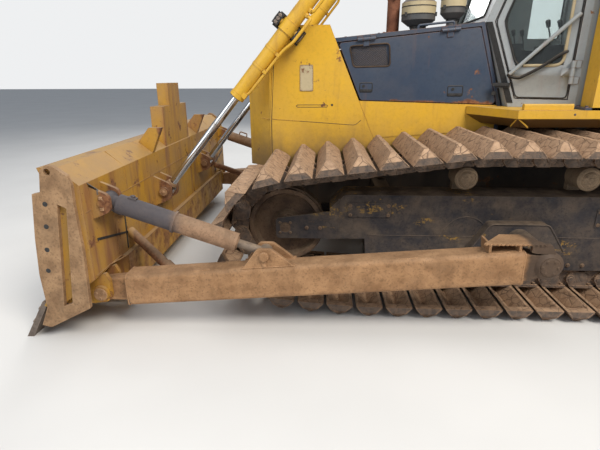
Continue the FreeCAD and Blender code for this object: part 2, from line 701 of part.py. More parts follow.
def blade_curve():
    """The moldboard's front face: low point, middle of its hollow and top."""
    return (D.blade_tip_x - 165, 235), (D.blade_tip_x - 345, 660), (D.blade_tip_x - 300, 1140)


def blade_face(z):
    """How far forward the moldboard's front face lies at a height: a circle through its three points."""
    (x1, z1), (x2, z2), (x3, z3) = blade_curve()
    a, b = 2 * (x2 - x1), 2 * (z2 - z1)
    c, d = 2 * (x3 - x1), 2 * (z3 - z1)
    e, f = x2 ** 2 - x1 ** 2 + z2 ** 2 - z1 ** 2, x3 ** 2 - x1 ** 2 + z3 ** 2 - z1 ** 2
    middle_x = (e * d - f * b) / (a * d - b * c)
    middle_z = (a * f - c * e) / (a * d - b * c)
    radius = math.hypot(x1 - middle_x, z1 - middle_z)
    return middle_x - math.sqrt(radius ** 2 - (z - middle_z) ** 2)


def arc_prism(name, start, middle, end, rest, span):
    """A body padded along y: an arc through three points, then straight edges to the rest."""
    body = DOC.addObject("PartDesign::Body", name)
    sketch = body.newObject("Sketcher::SketchObject", f"{name}_outline")
    plane = next(item for item in body.Origin.OriginFeatures if item.Role == "XZ_Plane")
    sketch.AttachmentSupport = [(plane, "")]
    sketch.MapMode = "FlatFace"
    low, high = span
    sketch.setExpression("AttachmentOffset.Base.z", tied(f"-({high})"))
    points = [V(a, b, 0) for a, b in (start, middle, end)]
    sketch.addGeometry(Part.Arc(*points), False)
    corners = [points[2]] + [V(a, b, 0) for a, b in rest] + [points[0]]
    for here, following in zip(corners, corners[1:]):
        sketch.addGeometry(Part.LineSegment(here, following), False)
    pad = body.newObject("PartDesign::Pad", f"{name}_pad")
    pad.Profile = sketch
    pad.setExpression("Length", tied(f"({high}) - ({low})"))
    return body


def make_struts():
    """Round struts from the back of the blade to the push arms."""
    back = D.blade_back_x
    struts = []
    for word, side in (("left", 1), ("right", -1)):
        foot = V(back - 4, side * 1270, 560)
        tip = V(1880, side * (D.arm_y - D.arm_width / 2 - 48), 360)
        direction = tip - foot
        length = direction.Length
        outline = [(0, 0), (length, 0), (length, 42), (length - 70, 42), (length - 70, 34), (0, 34)]
        struts.append(turned(f"strut_{word}", direction, outline, (foot.x, foot.y, foot.z)))
    return struts


def make_blade():
    low, middle, top = blade_curve()
    skin = D.blade_skin
    back = D.blade_back_x
    inside = ("-blade_half + end_plate", "blade_half - end_plate")
    outer = arc_prism("blade_outer", low, middle, top, [
        (back + 130, top[1]), (back, 1035), (back, 430), (low[0] - 70, 200)], inside)
    hollow = arc_prism("blade_hollow", (blade_face(340) - skin, 340), (middle[0] - skin, 660),
        (top[0] - skin, 1080), [
        (back + 140, top[1] - 40), (back + skin, 1020), (back + skin, 450), (blade_face(340) - skin - 80,
            340)],
        ("-blade_half + end_plate + 20", "blade_half - end_plate - 20"))
    beam = prism("blade_beam", "y", [
        (back - 50, 190), (low[0] - 60, 190), (blade_face(270) - 16, 270), (blade_face(400) - 16, 400),
        (back - 50, 440)], (-1440, 1440))
    lugs = make_blade_lugs()
    node("blade", fuse("blade", cut("blade_shell", outer, hollow), beam, *make_tower(), *make_struts(),
                       lugs, mirrored("blade_lugs_right", lugs)))
    edge = prism("cutting_edge", "y", [
        (D.blade_tip_x, 0), (D.blade_tip_x - 8, 10), (low[0] + 8, 262), (low[0] - 26, 252),
        (D.blade_tip_x - 46, 0)], ("-blade_half + end_plate", "blade_half - end_plate"))
    node("cutting_edge", cut("cutting_edge_seated", edge, outer, beam))


def make_end_plates():
    """Slotted end plates with an ear on top."""
    tip = D.blade_tip_x
    outline = [
        (tip - 488, 240), (tip - 208, 95, 30), (tip - 148, 110), (tip - 207, 241), (tip - 201, 474),
        (tip - 223, 712), (tip - 262, 990), (tip - 313, 1000), (tip - 335, 1128), (tip - 376, 1165, 25),
        (tip - 415, 1156), (tip - 492, 1100), (tip - 508, 1044), (tip - 502, 929), (tip - 508, 630),
    ]
    plate = prism("end_plate_blank", "y", outline, ("blade_half - end_plate", "blade_half"), [
        (tip - 378, 1122, 20)])
    slot = prism("end_plate_slot", "y", [
        (tip - 402, 930), (tip - 455, 905), (tip - 380, 275), (tip - 320, 250)],
        ("blade_half - end_plate - 5", "blade_half + 5"))
    pair("blade_end_plates", cut("blade_end_plate", plate, slot))


def make_blade_lugs():
    """Lugs for the push arm, the brace and the lift rod, on the back of the blade."""
    back = D.blade_back_x
    low = blade_curve()[0]
    pieces = []
    for side, name in ((1, "out"), (-1, "in")):
        y = D.arm_y + side * (45 + D.ear_gap / 2)
        span = sorted((y, y + side * 32))
        pieces.append(prism(f"arm_lug_{name}", "y", [
            (D.blade_pin_x - 62, D.blade_pin_z - 62, 60), (D.blade_pin_x + 60, D.blade_pin_z - 80),
            (low[0] - 74, 204), (low[0] - 180, 425), (D.blade_pin_x - 40, 425), (D.blade_pin_x - 62, 380)],
                span))
        y = D.arm_y + side * (50 + D.ear_gap / 2)
        span = sorted((y, y + side * D.ear))
        pieces.append(prism(f"brace_lug_{name}", "y", [
            (D.brace_front_x - 52, D.brace_front_z - 52, 50), (back, 800), (back, 1004),
            (D.brace_front_x - 52, D.brace_front_z + 52, 50)], span))
        y = D.lift_y + side * (D.lift_eye_width / 2 + D.lift_gap)
        span = sorted((y, y + side * D.ear))
        pieces.append(prism(f"lift_lug_{name}", "y", [
            (D.lift_eye_x - 62, D.lift_eye_z - 62, 60), (back, 600), (back, 850),
            (D.lift_eye_x - 62, D.lift_eye_z + 62, 60)], span))
        face = D.lift_y + side * (D.lift_eye_width / 2 + D.lift_gap + D.ear)
        pieces.append(rod(f"lift_pin_head_{name}", "y", ("lift_eye_x", "lift_eye_z"), 40,
            sorted((face, face + side * 18))))
        face = D.arm_y + side * (45 + D.ear_gap / 2 + 32)
        pieces.append(rod(f"arm_pin_head_{name}", "y", ("blade_pin_x", "blade_pin_z"), "blade_pin + 20",
                          sorted((face, face + side * 26))))
    brace_pin = rod("brace_pin", "y", ("brace_front_x", "brace_front_z"), 25, ("arm_y - 90", "arm_y + 92"))
    return fuse("blade_lugs", *pieces, brace_pin)


def make_tower():
    """Raised post in the middle of the blade's top, with a rib on each side."""
    lower = prism("tower_lower", "x", [(-340, 1030), (340, 1030), (330, 1385), (-330, 1385)],
                  ("blade_back_x + 6", "blade_back_x + 120"))
    upper = prism("tower_upper", "x", [
        (-150, 1380), (150, 1380), (150, 1580), (-70, 1580), (-70, 1556), (-112, 1556), (-112, 1580),
            (-150, 1580)],
        ("blade_back_x + 6", "blade_back_x + 110"))
    ribs = []
    for word, y in (("left", 650), ("right", -650)):
        ribs.append(prism(f"tower_rib_{word}", "y", [
            (D.blade_back_x + 4, 1030), (D.blade_back_x + 116, 1120), (D.blade_back_x + 16, 1240),
            (D.blade_back_x - 90, 1240)], (y - 25, y + 25)))
    return [lower, upper, *ribs]


# Braces


def brace_ends():
    return (D.brace_front_x, D.brace_front_z), (D.brace_rear_x, D.brace_rear_z)


def brace_length():
    start, end = brace_ends()
    return math.dist(start, end)


def make_braces():
    start, end = brace_ends()
    length = brace_length()
    barrel = bar_between("tilt_tube", start, end, D.arm_y, D.brace_barrel, (70, D.brace_barrel_length),
        D.brace_rod + 0.1)
    band = bar_between("tilt_band", start, end, D.arm_y, D.brace_barrel + 9, (430, 446), D.brace_barrel - 2)
    eye = rod("tilt_front_eye", "y", ("brace_front_x", "brace_front_z"), 50, ("arm_y - 50", "arm_y + 50"))
    neck = bar_between("tilt_neck", start, end, D.arm_y, 42, (30, 90))
    hole = rod("tilt_eye_hole", "y", ("brace_front_x", "brace_front_z"), 25.05, ("arm_y - 60", "arm_y + 60"))
    node("tilt_barrel", cut("tilt_barrel", fuse("tilt_barrel_whole", barrel, band, eye, neck), hole))
    shaft = bar_between("tilt_shaft", start, end, D.arm_y, D.brace_rod, (560, length - 20))
    rear = rod("tilt_rear_eye", "y", ("brace_rear_x", "brace_rear_z"), 42, ("arm_y - 40", "arm_y + 40"))
    node("tilt_rod", fuse("tilt_rod", shaft, rear))
    y = -D.arm_y
    tube = bar_between("screw_tube", start, end, y, D.brace_barrel, (70, D.brace_barrel_length))
    front_eye = rod("screw_front_eye", "y", ("brace_front_x", "brace_front_z"), 50, ("-arm_y - 50",
        "-arm_y + 50"))
    screw = bar_between("screw_thread", start, end, y, 34, (D.brace_barrel_length - 10, length - 20))
    rear_eye = rod("screw_rear_eye", "y", ("brace_rear_x", "brace_rear_z"), 42, ("-arm_y - 40",
        "-arm_y + 40"))
    screw_neck = bar_between("screw_neck", start, end, y, 42, (30, 90))
    screw_hole = rod("screw_eye_hole", "y", ("brace_front_x", "brace_front_z"), 25.05, ("-arm_y - 60",
        "-arm_y + 60"))
    whole = fuse("screw_whole", tube, front_eye, screw, rear_eye, screw_neck)
    node("screw_brace", cut("screw_brace", whole, screw_hole))


# Lift cylinders


def lift_ends():
    return (D.lift_top_x, D.lift_top_z), (D.lift_eye_x, D.lift_eye_z)


def make_lift_cylinders():
    """Yoke on the guard, barrel on two side pins in the yoke, rod with a ball eye."""
    top, eye = lift_ends()
    length = math.dist(top, eye)
    ux, uz = (eye[0] - top[0]) / length, (eye[1] - top[1]) / length
    ax, az = -uz, ux
    y = D.lift_y

    def at(s, a):
        return (top[0] + ux * s + ax * a, top[1] + uz * s + az * a)

    reach = D.lift_barrel + 14
    plate = prism("yoke_plate", "y", [at(-60, -reach - 50), at(60, -reach - 50), at(60, reach + 50),
        at(-60, reach + 50)],
                  ("guard_half + 14", "guard_half + 38"))
    blocks = []
    for word, sign in (("fore", 1), ("aft", -1)):
        blocks.append(prism(f"yoke_block_{word}", "y", [
            at(-46, sign * reach), at(46, sign * reach), at(46, sign * (reach + 48)), at(-46,
                sign * (reach + 48))],
            ("guard_half + 30", "lift_y + 44")))
    direction = V(ax, 0, az)
    low = at(0, -reach - 60)
    holes = turned("yoke_holes", direction, [(0, 0), (2 * reach + 120, 0),
        (2 * reach + 120, 24 + D.running), (0, 24 + D.running)],
                   (low[0], y, low[1]))
    pivot = rod("yoke_pivot", "y", ("lift_top_x", "lift_top_z"), 44.95, ("guard_half - guard_skin",
        "guard_half + 16"))
    both("lift_yoke", fuse("lift_yoke", cut("yoke_bored", fuse("yoke_rough", plate, *blocks), holes), pivot))

    tube = turned("lift_tube", V(ux, 0, uz), [
        (0, 0), (30, 0), (30, D.lift_bore), (D.lift_above + D.lift_below - 60, D.lift_bore),
        (D.lift_above + D.lift_below - 60, D.lift_rod + 0.1), (D.lift_above + D.lift_below, D.lift_rod + 0.1),
        (D.lift_above + D.lift_below, D.lift_barrel), (0, D.lift_barrel)],
        (at(-D.lift_above, 0)[0], y, at(-D.lift_above, 0)[1]))
    collar = turned("lift_collar", V(ux, 0, uz), [
        (-44, D.lift_bore + 2), (44, D.lift_bore + 2), (44, D.lift_barrel + 8), (-44, D.lift_barrel + 8)],
        (top[0], y, top[1]))
    stubs = []
    for word, sign in (("fore", 1), ("aft", -1)):
        foot = at(0, sign * (D.lift_barrel - 4))
        stubs.append(turned(f"lift_stub_{word}", direction * sign, [(0, 0), (62, 0), (62, 24), (0, 24)],
            (foot[0], y, foot[1])))
    both("lift_barrel", fuse("lift_barrel", tube, collar, *stubs))

    shaft = turned("lift_shaft", V(ux, 0, uz), [
        (D.lift_piston - 30, 0), (length - 30, 0), (length - 30, D.lift_rod), (D.lift_piston + 30,
            D.lift_rod),
        (D.lift_piston + 30, D.lift_bore - 0.3), (D.lift_piston - 30, D.lift_bore - 0.3)], (top[0], y,
            top[1]))
    ball = rod("lift_rod_eye", "y", ("lift_eye_x", "lift_eye_z"), 56,
               ("lift_y - lift_eye_width/2", "lift_y + lift_eye_width/2"))
    both("lift_rod", fuse("lift_rod", shaft, ball))


# Tractor: hull, guard, engine and hood


def make_hull():
    main = box("hull_main", (D.tank_front_x, 1290), ("-hull_half", "hull_half"), ("hull_floor", "hull_top"))
    rear = box("hull_rear", (-2560, -1500), (-430, 430), ("hull_floor", 1240))
    axle = rod("final_drive_axle", "y", ("sprocket_x", "sprocket_z"), 190, ("-track_gauge/2 + 150.3",
        "track_gauge/2 - 150.3"))
    pivot = rod("pivot_shaft", "y", (-1450, 640), 75, ("-track_gauge/2 + frame_width/2",
        "track_gauge/2 - frame_width/2"))
    bar = box("equaliser_bar", (300, 420), ("-track_gauge/2 + frame_width/2",
        "track_gauge/2 - frame_width/2"), (640, 780))
    member = box("front_member", (470, 1250), ("-guard_half + guard_skin", "guard_half - guard_skin"),
        (920, "hull_top"))
    node("hull", fuse("hull", main, rear, axle, pivot, bar, member))


def hood_top(x):
    slope = (D.hood_rear_z - D.hood_front_z) / (D.hood_rear_x - D.hood_front_x)
    return D.hood_front_z + slope * (x - D.hood_front_x)


def cab_front(z):
    """Front of the cab at a height: it leans forward up to its knee and back above it."""
    if z < D.cab_knee_z:
        return D.cab_knee_x - (D.cab_knee_z - z) * D.cab_rake
    return D.cab_knee_x - (z - D.cab_knee_z) * D.screen_rake


def guard_rear(z):
    """Rear edge of the radiator guard, which slants forward as it rises."""
    share = (z - D.seam_low_z) / (D.hood_front_z - D.seam_low_z)
    return D.seam_low_x + (D.hood_front_x - D.seam_low_x) * min(1, max(0, share))


def guard_block(name, inset):
    """The guard's outer form, or the hollow inside it, moved inwards by the inset."""
    face = D.guard_face_x - inset
    half = D.guard_half - inset
    corner = D.guard_corner
    back = 20 if inset else 0
    floor = D.guard_floor - back
    profile = [
        (guard_rear(D.seam_low_z) - back, floor), (face, floor), (face, D.guard_bend_z - inset / 3),
        (face - 260, D.guard_brow_z - inset), (face - 360, D.guard_brow_z + 50 - inset),
        (D.hood_front_x + 40 - back, D.guard_brow_z + 50 - inset),
        (D.hood_front_x - back, D.hood_front_z), (guard_rear(D.seam_low_z) - back, D.seam_low_z)]
    side = prism(f"{name}_side", "y", profile, (-half, half))
    front_half = half - corner * 0.7
    plan = prism(f"{name}_plan", "z", [
        (300, -half), (face - corner, -half), (face, -front_half), (face, front_half), (face - corner, half),
        (300, half)], (floor, 2040))
    made = DOC.addObject("Part::Common", name)
    made.Base, made.Tool = side, plan
    return made


def make_guard():
    """Radiator guard: side plates, slanted corners, sloping top, open at the back and below."""
    face = D.guard_face_x
    window = box("guard_window", (face - 90, face + 10), (-330, 330), (1000, 1600))
    bores = rod("guard_bores", "y", ("lift_top_x", "lift_top_z"), 45, (-700, 700))
    foot, head = (face, D.guard_bend_z), (face - 260, D.guard_brow_z)
    length = math.dist(foot, head)
    run = ((head[0] - foot[0]) / length, (head[1] - foot[1]) / length)

    def slope_piece(name, start, end, outward, inward, span):
        """A piece along the sloping face: start and end along it, outward and inward of it."""
        corners = []
        for s, depth in ((start, outward), (end, outward), (end, -inward), (start, -inward)):
            corners.append((foot[0] + run[0] * s + run[1] * depth, foot[1] + run[1] * s - run[0] * depth))
        return prism(name, "y", corners, span)
    nose = slope_piece("guard_nose_window", 70, 350, 40, 60, (-310, 310))
    slats = [slope_piece(f"guard_nose_slat_{index}", s, s + 14, -4, 20, (-320, 320))
             for index, s in enumerate((136, 206, 276))]
    shell = cut("guard_shell", guard_block("guard_outer", 0), guard_block("guard_inner", D.guard_skin),
        window, bores, nose)
    node("radiator_guard", fuse("radiator_guard", shell, *slats))
    back = face - D.guard_skin
    bars = [box(f"grille_bar_{index}", (back - 24, back), (-340, 340), (1010 + 50 * index, 1032 + 50 * index))
            for index in range(12)]
    posts = [box(f"grille_post_{index}", (back - 30, back), (y - 12, y + 12), (985, 1615))
             for index, y in enumerate((-328, 0, 328))]
    node("grille", fuse("grille", *bars, *posts))
    node("radiator", box("radiator", (1160, 1280), (-400, 400), ("hull_top", 1780)))


def make_engine():
    node("engine", box("engine", (-150, 950), (-300, 300), ("hull_top", 1640)))


def hood_hinge(index, x):
    """A hinge at the top edge of a hood door: the part on the hood and the part on the door."""
    half = 70
    slope = (hood_top(x + half) - hood_top(x - half)) / (2 * half)
    y = D.hood_half + 14

    def axis_z(place):
        return hood_top(place) - D.hood_skin - 3

    def leaf(name, low, high, down, up):
        return prism(name, "y", [
            (low, axis_z(low) + down), (high, axis_z(high) + down), (high, axis_z(high) + up),
            (low, axis_z(low) + up)], (D.hood_half - 2, D.hood_half + 8))

    def barrel(name, low, high, radius):
        length = math.hypot(high - low, slope * (high - low))
        return turned(name, V(1, 0, slope), [(0, 0), (length, 0), (length, radius), (0, radius)],
                      (low, y, axis_z(low)))
    fixed = fuse(
        f"hood_hinge_fixed_{index}",
        barrel(f"hood_hinge_front_{index}", x + 26, x + half, 12), leaf(f"hood_leaf_front_{index}", x + 30,
            x + half, 4, 26),
        barrel(f"hood_hinge_rear_{index}", x - half, x - 26, 12), leaf(f"hood_leaf_rear_{index}", x - half,
            x - 30, 4, 26),
        barrel(f"hood_hinge_pin_{index}", x - half, x + half, 6.5))
    moving = fuse(f"hood_hinge_moving_{index}", barrel(f"hood_knuckle_{index}", x - 25.5, x + 25.5, 12),
                  leaf(f"hood_leaf_door_{index}", x - 24, x + 24, -50, -4))
    bore = barrel(f"hood_hinge_bore_{index}", x - 30, x + 30, 6.5 + D.running)
    return fixed, moving, bore


def make_hood():
    """Top cover between guard and cab, yellow side panels below the doors, and the doors."""
    front, rear = D.hood_front_x, D.hood_rear_x
    skin = D.hood_skin
    top = prism("hood_top", "y", [
        (guard_rear(hood_top(front) - skin) - 0.3, hood_top(front) - skin), (front - 0.3, hood_top(front)),
        (rear, hood_top(rear)), (rear, hood_top(rear) - skin)], ("-hood_half", "hood_half"))
    gap = D.cab_gap
    rear_wall = prism("hood_rear", "y", [
        (cab_front(2005) + gap, 2005), (cab_front(2005) + gap + skin, 2005), (cab_front(1400) + gap + skin,
            1400),
        (cab_front(1400) + gap + skin, D.hull_top), (cab_front(1400) + gap, D.hull_top),
        (cab_front(1400) + gap, 1400)], ("-hood_half", "hood_half"))
    hinges = [hood_hinge(index, x) for index, x in enumerate((520, -120))]
    fixed = fuse("hood_hinges", *[some[0] for some in hinges])
    node("hood", fuse("hood", top, rear_wall, fixed, mirrored("hood_hinges_right", fixed)))
    foot = cab_front(1400) + gap + skin + 2
    seam = D.seam_low_x - 0.3
    panel = prism("side_panel_left", "y", [
        (foot, 1210), (seam, D.seam_low_z), (guard_rear(D.sill_front_z - 6) - 0.3, D.sill_front_z - 6),
        (foot, D.sill_rear_z - 6)], ("hood_half - 24", "hood_half + 4"))
    shelf = box("side_shelf", (foot, seam), ("hull_half", "hood_half"), (960, 1000))
    web = prism("side_web", "y", [(foot, 965), (seam, 965), (seam, D.seam_low_z + 5), (foot, 1215)],
                ("hood_half - 24", "hood_half"))
    pair("side_panels", fuse("side_panel", panel, shelf, web))
    play, seam_play = 6, 14
    sill_x = guard_rear(D.sill_front_z) - seam_play
    edge = cab_front(1980) + gap + skin + play
    door = prism("hood_door_blank", "y", [
        (sill_x, D.sill_front_z, 30),
        (guard_rear(hood_top(front) - skin - play) - seam_play, hood_top(front) - skin - play, 20),
        (edge, hood_top(edge) - skin - play, 20),
        (cab_front(D.sill_rear_z) + gap + skin + play, D.sill_rear_z, 30)],
        ("hood_half - 26", "hood_half"))
    vent = prism("hood_vent", "y", [
        (front - 150, 1700, 30), (front - 115, 1855, 30), (front - 425, 1875, 30), (front - 440, 1705, 30)],
        ("hood_half - 18", "hood_half + 20"))
    whole = fuse("hood_door_whole", cut("hood_door_panel", door, vent), *[some[1] for some in hinges])
    both("hood_door", cut("hood_door", whole, *[some[2] for some in hinges]))
    pipe = rod("exhaust_tube", "z", (274, 150), 52, (hood_top(274) - 4, 2760))
    bore = rod("exhaust_bore", "z", (274, 150), 46, (2500, 2770))
    node("exhaust_pipe", cut("exhaust_pipe", pipe, bore, top))
    cleaners = []
    for word, x, radius, rise in (("large", 84, 135, 60), ("small", -190, 98, 85)):
        top_x = hood_top(x)
        neck = rod(f"cleaner_neck_{word}", "z", (x, 250), radius * 0.45, (top_x - 4, top_x + rise))
        bowl = turned(f"cleaner_bowl_{word}", "z", [
            (-20, 0), (190, 0), (190, radius * 0.7), (150, radius), (20, radius), (-20, radius * 0.6)],
            (x, 250, top_x + rise))
        cleaners.append(cut(f"precleaner_{word}", fuse(f"precleaner_whole_{word}", neck, bowl), top))
    node("precleaners", group("precleaners", *cleaners))


# Cab


def diagonal():
    """The slanted side of the cab that holds the door: start, length and angle about z."""
    start = V(D.cab_knee_x, D.cab_front_half, 0)
    end = V(D.cab_corner_x, D.cab_half, 0)
    run = end - start
    return start, run.Length, math.degrees(math.atan2(run.y, run.x))


def cab_plan(grow):
    """Hexagonal plan of the cab, moved inwards by grow."""
    start, length, angle = diagonal()
    lean = math.radians(180 - angle)
    corner = D.cab_corner_x - grow * math.tan(lean / 2)
    front_half = D.cab_front_half - grow * (1 - math.sin(lean)) / math.cos(lean)
    back, front, half = D.cab_rear_x + grow, D.cab_knee_x - grow, D.cab_half - grow
    return [(back, -half), (corner, -half), (front, -front_half), (front, front_half), (corner, half),
        (back, half)]


def cab_profile(grow):
    """Side view of the cab: foot, knee and roof in front, moved inwards by grow."""
    foot, roof = D.cab_floor + grow, D.cab_roof - grow
    return [
        (D.cab_rear_x + grow, foot), (cab_front(foot) - grow, foot), (D.cab_knee_x - grow, D.cab_knee_z),
        (cab_front(roof) - grow, roof), (D.cab_rear_x + grow, roof)]


def cab_block(name, grow):
    made = DOC.addObject("Part::Common", name)
    made.Base = prism(f"{name}_plan", "z", cab_plan(grow), (D.cab_floor + grow, D.cab_roof - grow))
    made.Tool = prism(f"{name}_profile", "y", cab_profile(grow), (-D.cab_half + grow, D.cab_half - grow))
    return made


def on_diagonal(name, outline, depth_low, depth_high):
    """A flat piece on the slanted side: outline is (along, height), depth is measured inwards."""
    start, length, angle = diagonal()
    body = prism(name, "y", outline, (-depth_high, -depth_low))
    body.Placement = FreeCAD.Placement(start, FreeCAD.Rotation(V(0, 0, 1), angle - 180))
    return body


def diagonal_point(along_side, depth, z):
    """A point of the slanted side in the machine's frame."""
    start, length, angle = diagonal()
    turn = math.radians(angle - 180)
    return (start.x + math.cos(turn) * along_side + math.sin(turn) * depth,
            start.y + math.sin(turn) * along_side - math.cos(turn) * depth, z)


def door_outline(margin):
    """Door opening on the slanted side, less a margin: along runs backwards, so it is negative."""
    start, length, angle = diagonal()
    stretch = 1 / math.cos(math.radians(180 - angle))

    def front_edge(z):
        return (cab_front(z) - D.cab_knee_x) * stretch - D.door_post - margin
    low, high = D.cab_floor + 60 + margin, D.cab_roof - 130 - margin
    rear = -length + 50 + margin
    return [(front_edge(low), low), (front_edge(D.cab_knee_z), D.cab_knee_z), (front_edge(high), high),
            (rear, high), (rear, low)]


def door_hinge(index, z):
    """A hinge of the cab door: the part on the cab, the part on the door and the bore."""
    start, length, angle = diagonal()
    line = -length + 53
    depth = -18

    def barrel(name, low, high, radius):
        x, y, base = diagonal_point(line, depth, low)
        return turned(name, "z", [(0, 0), (high - low, 0), (high - low, radius), (0, radius)], (x, y, base))

    def leaf(name, reach, low, high):
        near, far = sorted((line, line + reach))
        return on_diagonal(name, [(near, low), (far, low), (far, high), (near, high)], -12,
            5 if reach > 0 else 1)
    fixed = fuse(
        f"door_hinge_fixed_{index}",
        barrel(f"door_hinge_low_{index}", z - 80, z - 31, 15), leaf(f"door_leaf_low_{index}", -48, z - 80,
            z - 31),
        barrel(f"door_hinge_high_{index}", z + 31, z + 80, 15), leaf(f"door_leaf_high_{index}", -48,
            z + 31, z + 80),
        barrel(f"door_hinge_pin_{index}", z - 80, z + 80, 8))
    moving = fuse(f"door_hinge_moving_{index}", barrel(f"door_knuckle_{index}", z - 30, z + 30, 15),
                  leaf(f"door_leaf_{index}", 70, z - 30, z + 30))
    bore = barrel(f"door_hinge_bore_{index}", z - 40, z + 40, 8 + D.running)
    return fixed, moving, bore


def door_handle():
    """Long slanted hand rail on a cab door, on two feet."""
    low = V(*diagonal_point(-219, -42, 1640))
    high = V(*diagonal_point(-617, -42, 2036))
    run = high - low
    rail = turned("door_rail", run, [(0, 0), (run.Length, 0), (run.Length, 14), (0, 14)], (low.x, low.y,
        low.z))
    feet = []
    for word, line, z in (("low", -229, 1650), ("high", -606, 2025)):
        feet.append(on_diagonal(f"door_rail_foot_{word}", [
            (line - 12, z - 12), (line + 12, z - 12), (line + 12, z + 12), (line - 12, z + 12)], -42, 6))
    return [rail, *feet]


def make_cab():
    outer = cab_block("cab_outer", 0)
    inner = cab_block("cab_inner", D.cab_wall)
    window_z = ("cab_knee_z - 38", "cab_roof - 160")
    windscreen = box("cab_windscreen", (-900, -300), (-400, 400), ("cab_knee_z + 52", "cab_roof - 160"))
    foot_glass = box("cab_foot_glass", (-760, -300), (-360, 360), ("cab_floor + 160", "cab_knee_z - 68"))
    rear_glass = box("cab_rear_glass", ("cab_rear_x - 20", "cab_rear_x + cab_wall + 20"), (-640, 640),
        window_z)
    side_glass = box("cab_side_glass", (-1570, -1240), (-1000, 1000), window_z)
    low, high = -40, D.cab_wall + 40
    left_door = on_diagonal("door_opening_left", door_outline(0), low, high)
    right_door = mirrored("door_opening_right", left_door)
    shell = cut("cab_shell", outer, inner, windscreen, foot_glass, rear_glass, side_glass, left_door,
        right_door)
    hinges = [door_hinge(index, z) for index, z in enumerate((1650, 2750))]
    fixed = fuse("door_hinges", *[some[0] for some in hinges])
    node("cab", fuse("cab", shell, fixed, mirrored("door_hinges_right", fixed)))
    frame = on_diagonal("door_blank", door_outline(6), 4, D.cab_wall - 4)
    points = door_outline(66)
    share = (1700 - points[0][1]) / (points[1][1] - points[0][1])
    sill_front = points[0][0] + (points[1][0] - points[0][0]) * share
    lower = [(sill_front, 1700), points[1], points[2], points[3], (points[4][0], 1700)]
    pane_hole = on_diagonal("door_pane_hole", lower, -20, D.cab_wall + 20)
    pane = on_diagonal("door_pane", lower, 20, 28)
    pieces = [pane, *door_handle(), *[some[1] for some in hinges]]
    door = fuse("door_whole", cut("door_frame", frame, pane_hole), *pieces)
    both("cab_door", cut("cab_door", door, *[some[2] for some in hinges]))
    middle = cut("cab_middle", cab_block("cab_pane_outside", 20), cab_block("cab_pane_inside", 28))
    panes = DOC.addObject("Part::Common", "cab_glass")
    panes.Base, panes.Tool = middle, fuse("cab_windows", windscreen, foot_glass, rear_glass, side_glass)
    node("cab_glass", panes)


def make_cab_inside():
    base = box("seat_base", (-1450, -1050), (-220, 220), ("cab_floor + cab_wall", "cab_floor + 240"))
    cushion = box("seat_cushion", (-1460, -960), (-250, 250), ("cab_floor + 240", "cab_floor + 390"))
    floor = D.cab_floor
    back = prism("seat_back", "y", [
        (-1460, floor + 380), (-1330, floor + 380), (-1420, floor + 1020, 40), (-1540, floor + 1020, 40)],
            (-230, 230))
    node("seat", fuse("seat", base, cushion, back))
    console = [box(f"console_{word}", (-1450, -850), (y - 90, y + 90),
        ("cab_floor + cab_wall", "cab_floor + 450"))
               for word, y in (("left", 400), ("right", -400))]
    dash = box("dash", (-790, -670), (-230, 230), ("cab_floor + cab_wall", "cab_floor + 480"))
    node("controls", group("controls", *console, dash))


def plan_bar(name, start, end, section):
    """A bar of constant section on the plan line from start to end: section is (inwards, height)."""
    run = V(end[0] - start[0], end[1] - start[1], 0)
    body = prism(name, "x", section, (0, run.Length))
    body.Placement = FreeCAD.Placement(V(start[0], start[1], 0), FreeCAD.Rotation(V(1, 0, 0), run))
    return body


def make_fenders():
    """Plate over the track with an upright edge and a slanted underside, cut off at an angle in front."""
    inner, outer, top = D.guard_half + 2, D.fender_out, D.fender_top
    rear, front, corner = D.tank_rear_x + 180, -300, -515
    plate = prism("fender_plate", "z", [(rear, inner), (front, inner), (corner, outer), (rear, outer)],
                  ("fender_top - 12", "fender_top"))
    lip, foot = top - D.fender_lip, top - D.fender_lip - D.fender_skirt
    # seen along the bar from its start, the machine lies at negative values
    section = [(0, top), (0, lip), (-110, foot), (-110, foot + 14), (-12, lip + 6), (-12, top)]
    side = plan_bar("fender_side", (rear, outer), (corner, outer), section)
    nose = plan_bar("fender_nose", (corner, outer), (front, inner), section)
    bracket = box("fender_bracket", (-1700, -1500), (432, 545), (1150, "fender_top"))
    step = plan_bar("fender_step", (-900, outer - 30), (-560, outer - 30), [
        (0, top - 4), (0, top + 34), (-8, top + 42), (-26, top + 42), (-34, top + 34), (-34, top - 4)])
    clear = box("fender_clear", (front - 400, front + 100), (inner - 200, inner), (foot - 20, "fender_top - 12"))
    nose = cut("fender_nose_trimmed", nose, clear)
    pair("fenders", fuse("fender", plate, side, nose, bracket, step))


